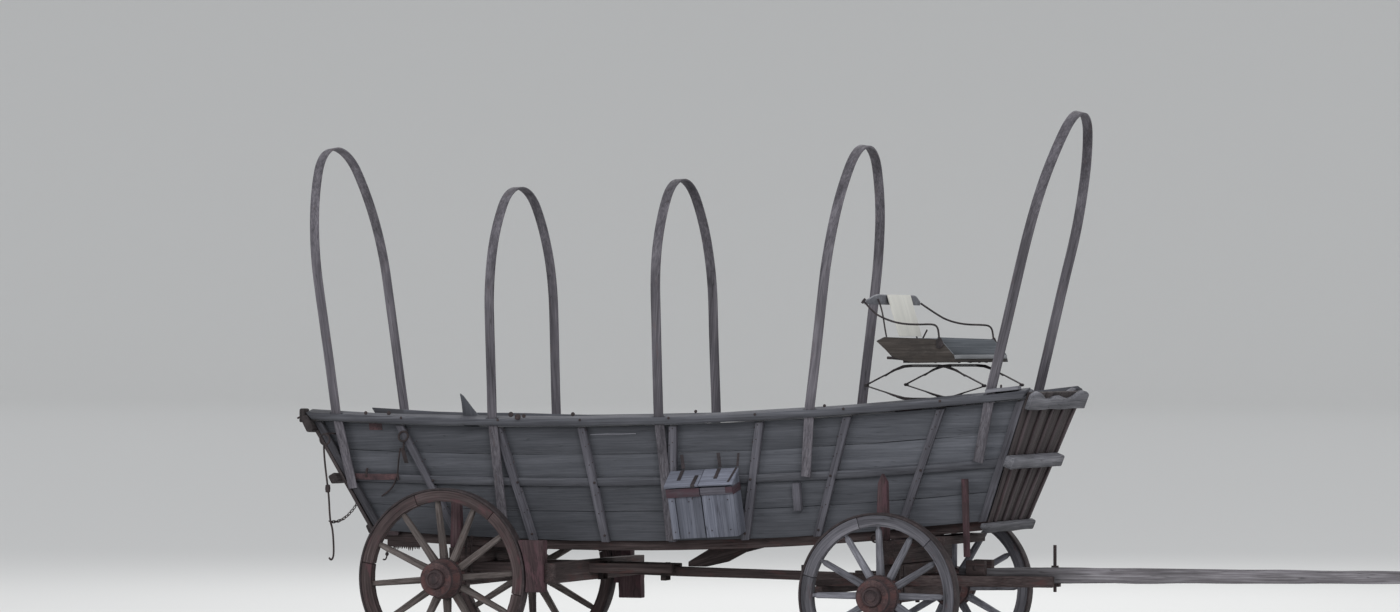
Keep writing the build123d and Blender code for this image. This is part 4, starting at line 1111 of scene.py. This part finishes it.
fitted(joined("side_bolts", heads), "bed", gear_iron, "rusty_iron")
bpy.data.objects.remove(bolt_head)
bpy.data.objects.remove(nail_head)


# Irons of the right side: a ring holds a flat plate with a long hook, which reaches down to a
# bent rod under the middle rail. A clip, knobs on the top rail and two red straps. Forged.
UP_FLANK = (0, -math.sin(FLARE), math.cos(FLARE))
OUT_FLANK = Matrix.Rotation(math.pi / 2 - FLARE, 4, "X")


def ring(name, centre, radius, thick, turn, long=1.0):
    """A ring or link bent from rod, lying in the plane that a turn gives."""
    corners = [(radius * long * math.cos(a), radius * math.sin(a), 0) for a in
               (math.pi * k / 4 for k in range(8))]
    return rod(name, [Vector(centre) + turn.to_3x3() @ Vector(c) for c in corners], thick, closed=True)


def along_flank(places):
    """Places on the right side from their x, their height and how far out they lie."""
    return [on_flank(x, z, out) for x, z, out in places]


flank_irons = [ring("hook_ring", on_flank(-3.552, 1.690, 0.060), 0.040, 0.008, OUT_FLANK)]
flank_irons.append(strap("hook_plate", along_flank(
    ((-3.572, 1.605, 0.052), (-3.560, 1.545, 0.052), (-3.550, 1.492, 0.050))), 0.032, 0.005))
for name, radius, places in (
        ("hook_shank", 0.007, ((-3.553, 1.655, 0.058), (-3.556, 1.63, 0.056), (-3.562, 1.595, 0.054))),
        ("long_hook", 0.006, (
            (-3.590, 1.600, 0.052), (-3.610, 1.52, 0.05), (-3.628, 1.44, 0.042), (-3.640, 1.385, 0.040),
            (-3.630, 1.365, 0.040))),
        ("rail_loop", 0.006, (
            (-3.645, 1.385, 0.040), (-3.660, 1.352, 0.036), (-3.697, 1.306, 0.026), (-3.740, 1.272, 0.02),
            (-3.790, 1.245, 0.012))),
        ("rail_clip", 0.009, ((-3.893, 1.385, 0.036), (-3.893, 1.43, 0.028), (-3.888, 1.450, 0.014)))):
    flank_irons.append(rod(name, along_flank(places), radius))
for x, z, size in (
        (-3.641, 1.862, 0.016), (-2.662, 1.856, 0.020), (-2.609, 1.838, 0.024), (-2.56, 1.846, 0.015),
        (-2.171, 1.860, 0.016), (-3.829, 1.862, 0.014), (-1.21, 1.885, 0.012), (-0.22, 1.93, 0.012)):
    flank_irons.append(dome("rail_knob", size, on_flank(x, z, 0.083), OUT_FLANK, 10))
fitted(joined("right_side_irons", flank_irons), "bed", gear_iron, "rusty_iron")
# Flat straps that flake red, brighter than the other irons.
red_iron = iron("reddish_flaking_strap", "#33262a", "#4d383b", "#64494a")
rail_strap = strap("rail_strap", along_flank(
    ((-4.0, 1.390, 0.0325), (-3.87, 1.388, 0.0325), (-3.75, 1.388, 0.0325), (-3.63, 1.390, 0.0325))),
    0.046, 0.004, UP_FLANK)
under_rail = strap("under_rail_patch", along_flank((x, 1.76, 0.003) for x in (-3.85, -3.80, -3.745)),
                   0.05, 0.003, UP_FLANK)
fitted(joined("right_side_straps", [rail_strap, under_rail]), "bed", red_iron, "rusty_iron")


# A broken lining board stands up behind the top rail to a splintered point. A split between
# two boards of the right side catches the light as a thin pale line. Both are grey pine.
broken = plate("broken_board", (
    (-3.094, 1.70), (-2.975, 1.70), (-2.975, 1.84), (-3.02, 1.895), (-3.085, 1.985), (-3.108, 2.003),
    (-3.100, 1.93)), -0.519, -0.502)
grained(broken, (0, 0, 1), "broken", 0.9)
eased(broken, 0.002)
broken.data.transform(lean)
fitted(broken, "bed", board_timber, "grey_wood")
split_edge = strap("pale_split", along_flank(
    ((-2.084, 1.711, 0.002), (-1.96, 1.716, 0.002), (-1.84, 1.717, 0.002), (-1.723, 1.721, 0.002))),
    0.006, 0.003, UP_FLANK)
grained(split_edge, (1, 0, 0), "split_edge", 1.5)
fitted(split_edge, "bed", front_rail_timber, "grey_wood")


# Rear rod and chain: a long latch rod hangs from a staple ring at the rear corner, with a
# collar and a hooked foot, and a slack chain ties it to the side. Links of 7 mm iron.
ROD_Y = -0.645
LINKS = 11
SLACK = -0.20
rod_line = ((-4.165, 1.622), (-4.165, 1.56), (-4.142, 1.372), (-4.124, 1.250), (-4.115, 1.062),
            (-4.092, 1.003), (-4.083, 0.848), (-4.088, 0.79), (-4.110, 0.770), (-4.122, 0.792))
rod_parts = [
    rod("corner_staple", ((-4.100, -0.505, 1.700), (-4.140, -0.560, 1.715), (-4.160, -0.630, 1.705)), 0.007),
    ring("rod_ring", (-4.157, ROD_Y, 1.665), 0.042, 0.007, facing(-1)),
    rod("latch_rod", [(x, ROD_Y, z) for x, z in rod_line], 0.0075)]
collar = turned("rod_collar", [
    (-0.030, 0.008), (-0.026, 0.017), (0, 0.020), (0.026, 0.017), (0.030, 0.008)], 12)
collar.data.transform(Matrix.Translation((-4.133, ROD_Y, 1.302)) @ facing(-1))
rod_parts.append(collar)
chain_start = Vector((-4.117, ROD_Y, 1.060))
chain_end = Vector((-3.985, -0.432, 1.200))
for k in range(LINKS):
    part = (k + 0.5) / LINKS
    place = chain_start.lerp(chain_end, part) + Vector((0, 0, SLACK * part * (1 - part)))
    way = (chain_end - chain_start) + Vector((0, 0, SLACK * (1 - 2 * part)))
    turn = way.to_track_quat("X", "Z").to_matrix() @ Matrix.Rotation(math.radians(90 * (k % 2) + 20), 3, "X")
    rod_parts.append(ring("chain_link", place, 0.0105, 0.0036, turn, long=1.9))
fitted(joined("rear_rod_and_chain", rod_parts), "bed", gear_iron, "rusty_iron")


# Gate stub: the right end of the tail gate's top beam is broken to a stub of dark oak, with a
# short spur of rusty iron beside it.
stub = board("gate_stub", (-4.378, -0.628, 1.79), (-4.330, -0.545, 1.893), (0, 0, 1), "stub", 0.62,
             edge=0.012, step=0.03, wander=0.008)
# The stub takes the end boards' finish, with its painted shade.
fitted(stub, "tail_gate", panel_timber, "grey_wood")
spur = rod("gate_spur", ((-4.366, -0.600, 1.832), (-4.384, -0.605, 1.830), (-4.400, -0.608, 1.818)), 0.007)
fitted(spur, "tail_gate", gear_iron, "rusty_iron")


# Under the rear: a red block on the sill with a bolt, a hook with a ball, and a fringe of
# splinters where the last cross sill has rotted. Oak and rusty iron.
block = board("red_sill_block", (-3.815, -0.362, 0.950), (-3.690, -0.326, 1.006), (1, 0, 0), "sill_block",
              edge=0.006, step=0.04, wander=0.006)
fitted(block, "bed", batten_timber, "gear_wood")
rear_irons = [
    dome("block_bolt", 0.011, (-3.785, -0.3622, 0.985), facing(-1), 10),
    rod("sill_hook", ((-3.79, -0.340, 0.880), (-3.79, -0.345, 0.840), (-3.79, -0.345, 0.795),
                      (-3.805, -0.345, 0.765), (-3.823, -0.345, 0.772)), 0.006)]
ball = turned("hook_ball", [(-0.014, 0.003), (-0.012, 0.010), (0, 0.015), (0.012, 0.010), (0.014, 0.003)], 12)
ball.data.transform(Matrix.Translation((-3.79, -0.345, 0.812)))
rear_irons.append(ball)
fitted(joined("rear_sill_irons", rear_irons), "bed", gear_iron, "rusty_iron")
SPLINTER_TOP = 0.868
rng = random.Random("splinters")
splinters = [board("rotted_sill", (-3.80, -0.322, 0.866), (-3.50, -0.286, 0.930), (1, 0, 0), "rotted", 0.85,
                   edge=0.005, step=0.05, wander=0.006)]
for k in range(13):
    x = -3.745 + 0.017 * k
    tip_z = SPLINTER_TOP - rng.uniform(0.012, 0.034)
    tip_x = x + rng.uniform(-0.006, 0.006)
    piece = plate("splinter", ((x - 0.007, SPLINTER_TOP), (x + 0.007, SPLINTER_TOP), (tip_x, tip_z)),
                  -0.322, -0.314)
    grained(piece, (0, 0, 1), "splinter" + str(k), 0.9)
    splinters.append(piece)
fitted(joined("sill_splinters", splinters), "bed", gear_timber, "gear_wood")


# Clips of the running gear: flat iron straps bind each axle to the timber above it, and bands
# hold the reach along its length. Forged flat, bolted through.
rear_clips = []
front_clips = []
for y in (-0.55, -0.45, 0.45, 0.55):
    for x in (-3.1635, -3.0565):
        line = [(x, y, z) for z in (0.612, 0.75, 0.962)]
        rear_clips.append(strap("axle_clip", line, 0.032, 0.005, (0, 1, 0)))
    for x in (0.1965, 0.3135):
        line = [(x, y, z) for z in (0.540, 0.66, 0.792)]
        front_clips.append(strap("axle_clip", line, 0.030, 0.005, (0, 1, 0)))
for x in (-2.95, -2.2, -1.7, -0.6):
    for y in (-0.0475, 0.0475):
        rear_clips.append(strap("reach_band", [(x, y, z) for z in (0.640, 0.70, 0.768)], 0.04, 0.004))
    rear_clips.append(strap("reach_band", [(x, y, 0.6385) for y in (-0.048, 0, 0.048)], 0.04, 0.004))
fitted(joined("rear_axle_clips", rear_clips), "bed", gear_iron, "rusty_iron")
fitted(joined("front_axle_clips", front_clips), "front_gear", gear_iron, "rusty_iron")


# Far brake shoe: a second block hangs below the brake beam on the left side, in front of the
# wheel. Oak with old red paint, bolted up under the beam.
shoe = board("far_brake_shoe", (-2.402, 0.79, 0.462), (-2.219, 0.872, 0.639), (0, 0, 1), "shoe", 0.85,
             edge=0.006, step=0.05, wander=0.006)
fitted(shoe, "bed", red_timber, "gear_wood")


# Cap rail: a weathered length of another ash board is held by an iron peg on the front end of
# the right top rail, and is paler than the rail below it.
cap_rail = strap("cap_rail", (
    (0.990, -0.622, 2.036), (1.070, -0.626, 2.047), (1.150, -0.628, 2.053), (1.232, -0.630, 2.063)),
    0.088, 0.026, (0, 1, 0))
grained(cap_rail, (1, 0, 0.1), "cap_rail", 1.15)
fitted(cap_rail, "bed", front_rail_timber, "grey_wood")
peg = turned("rail_peg", [(-0.012, 0.005), (-0.010, 0.008), (0.010, 0.007), (0.012, 0.004)], 10)
peg.data.transform(Matrix.Translation((1.100, -0.640, 2.072)) @ facing(-1))
fitted(peg, "bed", gear_iron, "rusty_iron")


# Tongue jaws: two cheek blocks stand on the front hounds and hold the root of the tongue
# between them, with a bolt head on each. Dark oak, once red.
jaws = []
jaw_bolts = []
for side in (-1, 1):
    low, high = sorted((side * 0.054, side * 0.118))
    jaws.append(board("jaw", (0.660, low, 0.7155), (0.800, high, 0.822), (1, 0, 0), "jaw" + str(side), 0.9,
                      edge=0.006, step=0.05, wander=0.003))
    jaw_bolts.append(dome("jaw_bolt", 0.018, (0.730, side * 0.1165, 0.768), facing(side), 10))
fitted(joined("tongue_jaw_blocks", jaws), "front_gear", gear_timber, "gear_wood")
fitted(joined("tongue_jaw_bolts", jaw_bolts), "front_gear", gear_iron, "rusty_iron")


# Front ring: an iron ring hangs from a staple on the right end of the front bolster. Both are
# forged from round rod, and the staple is driven into the wood.
front_irons = [
    ring("bolster_ring", (0.10, -0.470, 0.985), 0.030, 0.007, facing(-1)),
    rod("bolster_staple", ((0.150, -0.440, 0.985), (0.130, -0.468, 0.995), (0.115, -0.480, 1.000)), 0.007)]
fitted(joined("front_ring_and_staple", front_irons), "bed", gear_iron, "rusty_iron")
